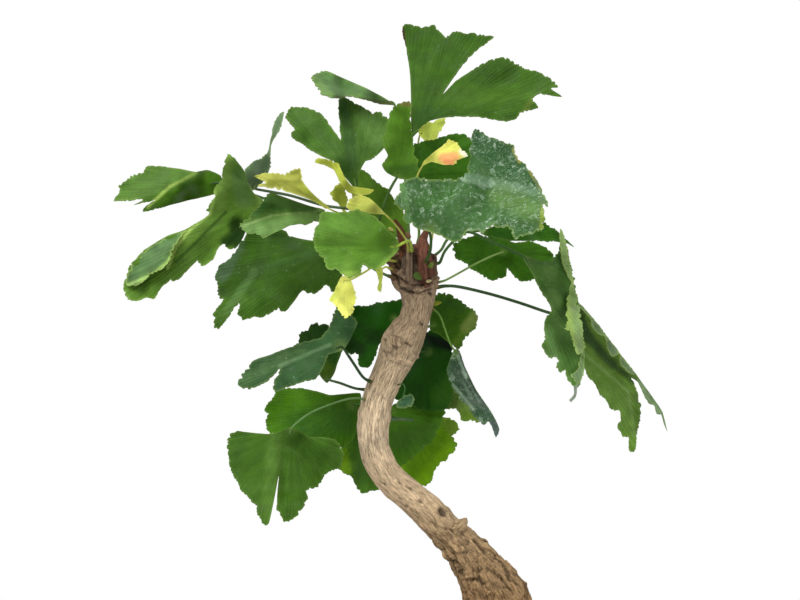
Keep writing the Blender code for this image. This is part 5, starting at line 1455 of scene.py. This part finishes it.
def mark_height(spot):
    """Height of the marks near a place, and their painted shade (below 0: a painted highlight)."""
    height, deep = 0.0, 0.0
    for ax, ay, bx, by, width, tall, dark in MARKS:
        if abs(spot[0] - ax) + abs(spot[1] - ay) > MARK_REACH:
            continue
        far = off_line(spot, ax, ay, bx, by) / width
        if far < 2.2:
            bell = math.exp(-far * far * 1.2) * (CROWN_MARKS if ay < CROWN_DOWN else 1)
            height += tall * bell
            deep += dark * bell
    return height, deep


def bark_height(place, limb, spot, front):
    """How far the bark stands out at a place, in mm, and its painted shade there: darker in its cracks, and
    below 0 a painted highlight.
    """
    x, y, z = place
    rough = clamp((spot[1] - ROUGH_DOWN) / ROUGH_BLEND) if limb in ("trunk", "burr") else 0.0
    bend = wave(x * 0.1, y * 0.1, z * 0.06) * 2.0
    lump = wave(x * 0.3, y * 0.3, z * 0.22 + 150)
    crack = max(0.0, 1.0 - abs(wave(x * 0.42 + bend, y * 0.42, z * 0.07)) / 0.10)
    small = max(0.0, 1.0 - abs(wave(x * 0.95, y * 0.95 + bend, z * 0.14 + 40)) / 0.12)
    # Painted shade in the cracks.
    deep = crack * 0.2 + small * 0.14
    height = wave(x * 0.15, y * 0.15, z * 0.06 + 90) * 0.3 + lump * 0.22 - crack * 0.2 - small * 0.12
    if rough > 0:
        plate_height, plate_deep = plated(place, bend, lump, crack)
        height += rough * plate_height
        deep += rough * plate_deep
    if limb in ("trunk", "knot"):
        height += ring_height(place, spot[1])
    if front:
        added_height, added_deep = mark_height(spot)
        height += added_height
        deep += added_deep
    height, deep = height - BARK_SUNK, clamp(deep, -0.6)
    return (height * SMOOTH_HEIGHT, deep * SMOOTH_SHADE) if limb in SMOOTH_LIMBS else (height, deep)


def tone_of(limb, down, place):
    """Bark colour: brown at the crown, pale tan down the bend, partly a painted highlight where it faces the
    light, browner near the soil.
    """
    colour = LIMB_TONES[limb] if limb in LIMB_TONES else blend(*between(TRUNK_TONES, down))
    light = 1 + 0.22 * wave(place.x * 0.14, place.y * 0.14, place.z * 0.07 + 7)
    return (*(min(1.0, c * light) for c in linear(*colour)), 1.0)


def carve(mesh, rings):
    """Moves each point of the wood by its bark, and gives it the values that the bark's look needs."""
    tree = search_tree([ring.centre for ring in rings])
    grain, tones, deeps, moved = [], [], [], []
    for vertex in mesh.vertices:
        p, normal = vertex.co, vertex.normal
        near = [rings[i] for _, i, _ in tree.find_n(p, RINGS_TRIED)]
        ring = min(near, key=lambda r: (p - r.centre).length - r.radius)
        arm = p - ring.centre
        x, y = arm.dot(ring.side), arm.dot(ring.up)
        size = max(1e-6, math.hypot(x, y))
        length = ring.length + arm.dot(ring.ahead)
        place = Vector((x / size * ring.radius, y / size * ring.radius, length)) / MM
        spot = picture_place(p)
        height, deep = bark_height(place, ring.limb, spot, normal.y < 0.25)
        moved.extend(p + normal * height * MM)
        grain.extend(place * MM)
        tones.extend(tone_of(ring.limb, spot[1], place))
        deeps.append(deep)
    mesh.vertices.foreach_set("co", moved)
    carry(mesh, "grain", "FLOAT_VECTOR", "vector", grain)
    carry(mesh, "tone", "FLOAT_COLOR", "color", tones)
    carry(mesh, "deep", "FLOAT", "value", deeps)
    mesh.update()


def one_skin(obj):
    """Joins a piece's crossing bars into one closed skin."""
    obj.modifiers.new("one", "REMESH").mode = "VOXEL"
    obj.modifiers["one"].voxel_size = TRUNK_VOXEL
    graph = bpy.context.evaluated_depsgraph_get()
    graph.update()
    mesh = bpy.data.meshes.new_from_object(obj.evaluated_get(graph))
    obj.modifiers.clear()
    obj.data = mesh
    return mesh


def trunk_piece():
    """The wood with fissures, rings, pits and burrs cut into its surface."""
    chains = {"trunk": fine_chain(trunk_chain()[::-1])}
    for limb, points in LIMBS.items():
        chains[limb] = fine_chain(limb_chain(points))
    points, faces = [], []
    for limb, chain in chains.items():
        centres, radii = zip(*domed(chain))
        bar_points, bar_faces = tube_mesh(centres, radii, TRUNK_SIDES if limb == "trunk" else LIMB_SIDES)
        faces += [tuple(len(points) + i for i in face) for face in bar_faces]
        points += bar_points
    obj = made_solid("trunk_fine", points, faces)
    mesh = one_skin(obj)
    carve(mesh, [ring for limb, chain in chains.items() for ring in rings_along(chain, limb)])
    mesh.materials.clear()
    mesh.materials.append(MATERIALS["bark"])
    add_chips(mesh)
    smooth_shade(mesh)
    fit(obj, "trunk")


def depth_off_wood(across, down):
    """The depth at which a place is a small gap in front of the wood."""
    low, high = CHIP_DEPTHS
    for _ in range(HALVINGS):
        depth = (low + high) / 2
        low, high = (depth, high) if to_wood(at(across, down, depth)) > CHIP_GAP else (low, depth)
    return depth


def add_chips(mesh):
    """Small domed scales set against the front of the wood."""
    work = bmesh.new()
    work.from_mesh(mesh)
    tone = work.verts.layers.float_color["tone"]
    deep = work.verts.layers.float["deep"]
    for across, down, long, wide, turn, colour in CHIPS:
        depth = depth_off_wood(across, down)
        made = bmesh.ops.create_icosphere(work, subdivisions=3, radius=1.0)
        for v in made["verts"]:
            x, y, z = v.co.x * long, v.co.y, v.co.z * wide * (1 - 0.45 * v.co.x)
            curl = -0.35 * v.co.x ** 2 - 0.25 * v.co.z ** 2
            v[tone] = (*(c * (1 + 0.18 * v.co.z) for c in linear(*colour)), 1.0)
            v[deep] = 0.0
            flat_x = x * math.cos(turn) - z * math.sin(turn)
            flat_z = x * math.sin(turn) + z * math.cos(turn)
            v.co = at(across + flat_x, down + flat_z, depth - 0.4 + y * 0.7 + curl)
    work.to_mesh(mesh)
    work.free()


# Pot and soil


def oval(a, b, z, sides):
    """A ring of points on an ellipse, with its half sizes and height in mm."""
    turns = [2 * math.pi * k / sides for k in range(sides)]
    return [Vector((a * math.cos(t), b * math.sin(t), z)) * MM for t in turns]


def rounded_rings(rings):
    """The rings, with three in place of each one between the first and the last, to round corners."""
    soft = [rings[0]]
    for before, ring, after in zip(rings, rings[1:], rings[2:]):
        pull = [(b + c) / 2 - a for a, b, c in zip(ring, before, after)]
        ease = min(0.35, 0.35 / max(0.1, math.hypot(pull[1], pull[2])))
        soft += [eased(ring, before), tuple(a + p * ease for a, p in zip(ring, pull)), eased(ring, after)]
    return soft + [rings[-1]]


def eased(ring, other):
    """A ring a little way toward another one."""
    return blend(ring, other, min(0.3, 1.1 / max(math.dist(ring[1:], other[1:]), 0.1)))


def pot_piece():
    """The oval pot with every corner rounded."""
    rings = rounded_rings(POT_RINGS)
    points = [p for ring in rings for p in oval(*ring, POT_SIDES)]
    obj = made_solid("pot_fine", points, closed_faces(len(rings), POT_SIDES), POT_SHARP)
    obj.data.materials.append(MATERIALS["clay"])
    fit(obj, "pot")


def soil_spot(share, angle):
    """A place on the soil's plain top, a share of the way out from its middle, in mm."""
    a, b, z = SOIL_RINGS[-1]
    return a * share * math.cos(angle), b * share * math.sin(angle), z + SOIL_RISE * (1 - share) ** 0.6


def soil_piece():
    """Gritty soil in the pot: an uneven top with loose grains sunk into it."""
    sides = SOIL_SIDES
    points = [p for ring in SOIL_RINGS for p in oval(*ring, sides)]
    for r in range(1, SOIL_ROWS):
        for k in range(sides):
            x, y, z = soil_spot(1 - r / SOIL_ROWS, 2 * math.pi * k / sides)
            lump = wave(x * 0.10, y * 0.10, 3.0) * 0.9
            grit = abs(wave(x * 0.9, y * 0.9, 9.0)) * 1.1
            points.append(Vector((x, y, z + (lump + grit) * min(1.0, r / 4))) * MM)
    rings = len(SOIL_RINGS) + SOIL_ROWS - 1
    faces = wall_faces(rings, sides) + [first_cap(sides)]
    points.append(Vector((0, 0, SOIL_MIDDLE)) * MM)
    last = (rings - 1) * sides
    faces += [(last + k, last + (k + 1) % sides, len(points) - 1) for k in range(sides)]
    draw = random.Random(23)
    for _ in range(GRAINS):
        share = math.sqrt(draw.random()) * GRAIN_REACH
        x, y, z = soil_spot(share, draw.uniform(0, 2 * math.pi))
        size = draw.uniform(*GRAIN_SIZES)
        add_grain(points, faces, Vector((x, y, z + GRAIN_RAISED)) * MM, size * MM, draw)
    obj = made_solid("soil_fine", points, faces, SOIL_SHARP)
    obj.data.materials.append(MATERIALS["soil"])
    fit(obj, "soil")


def add_grain(points, faces, centre, size, draw):
    """A loose grain: an eight-sided crumb, squeezed and turned by chance."""
    first = len(points)
    squeeze = Vector([draw.uniform(0.6, 1.0) for _ in range(3)])
    turn = draw.uniform(0, 3)
    for corner in ((0, 0, 1), (0, 0, -1), (1, 0, 0), (-1, 0, 0), (0, 1, 0), (0, -1, 0)):
        v = Vector(corner) * size * draw.uniform(0.8, 1.1)
        v = Vector((v.x * squeeze.x, v.y * squeeze.y, v.z * squeeze.z * 0.8))
        x = v.x * math.cos(turn) - v.y * math.sin(turn)
        y = v.x * math.sin(turn) + v.y * math.cos(turn)
        points.append(centre + Vector((x, y, v.z)))
    for a, b, c in ((0, 2, 4), (0, 4, 3), (0, 3, 5), (0, 5, 2), (1, 4, 2), (1, 3, 4), (1, 5, 3), (1, 2, 5)):
        faces.append((first + a, first + b, first + c))


# Light, camera and floor


def studio():
    """White surroundings, a key and a fill light, and the level camera."""
    scene = bpy.context.scene
    scene.view_settings.view_transform = "Standard"
    scene.view_settings.look = "None"
    scene.world = bpy.data.worlds.new("studio")
    scene.world.use_nodes = True
    nodes = Nodes(scene.world.node_tree)
    back = nodes.tree.nodes["Background"]
    nodes.fill(back.inputs["Color"], WHITE)
    nodes.fill(back.inputs["Strength"], WORLD_LIGHT)
    plain = nodes.make("ShaderNodeBackground", {"Color": WHITE, "Strength": 1.0})
    seen = nodes.make("ShaderNodeLightPath", {}).outputs["Is Camera Ray"]
    shown = nodes.choose(seen, back.outputs[0], plain.outputs[0])
    nodes.fill(nodes.tree.nodes["World Output"].inputs["Surface"], shown)
    for name, (place, size, power) in LAMPS.items():
        light = bpy.data.lights.new(name, "AREA")
        light.size = size
        light.energy = power
        lamp = made_object(name, light)
        lamp.location = place
        lamp.rotation_euler = (LAMP_AIM - Vector(place)).to_track_quat("-Z", "Y").to_euler()
    camera = bpy.data.cameras.new("camera")
    camera.lens = LENS
    camera.sensor_width = SENSOR
    eye = made_object("camera", camera)
    eye.location = (MIDDLE_X, -VIEW_DISTANCE, MIDDLE_Z)
    eye.rotation_euler = (math.pi / 2, 0, 0)
    scene.camera = eye


def floor():
    """A pale round floor that fades into the white around it."""
    sides = 96
    mesh = bpy.data.meshes.new("floor")
    edge = oval(FLOOR_RADIUS, FLOOR_RADIUS, FLOOR_LEVEL, sides)
    mesh.from_pydata([tuple(p) for p in edge], [], [tuple(range(sides))])
    paint = Paint("floor")
    paint.coat((0.86, 0.86, 0.86), 0.9)
    reach = paint.make("ShaderNodeVectorMath", {0: paint.place()}, operation="LENGTH").outputs["Value"]
    white = paint.make("ShaderNodeEmission", {"Strength": 1.0}).outputs[0]
    faded = paint.choose(paint.ramp(reach, 0.2, 0.47), paint.shader.outputs[0], white)
    paint.fill(paint.tree.nodes["Material Output"].inputs["Surface"], faded)
    mesh.materials.append(paint.material)
    made_object("floor", mesh)


MATERIALS = {
    "upper": leaf_material("leaf_upper", 0.50, 0.0005, 0.12),
    "lower": leaf_material("leaf_lower", 0.66, 0.0007, 0.08),
    "bark": bark_material(),
    "soil": soil_material(),
    "clay": clay_material(),
}

studio()
floor()
pot_piece()
soil_piece()
trunk_piece()
for leaf_name, leaf_spec in LEAVES.items():
    leaf_piece(leaf_name, **leaf_spec)
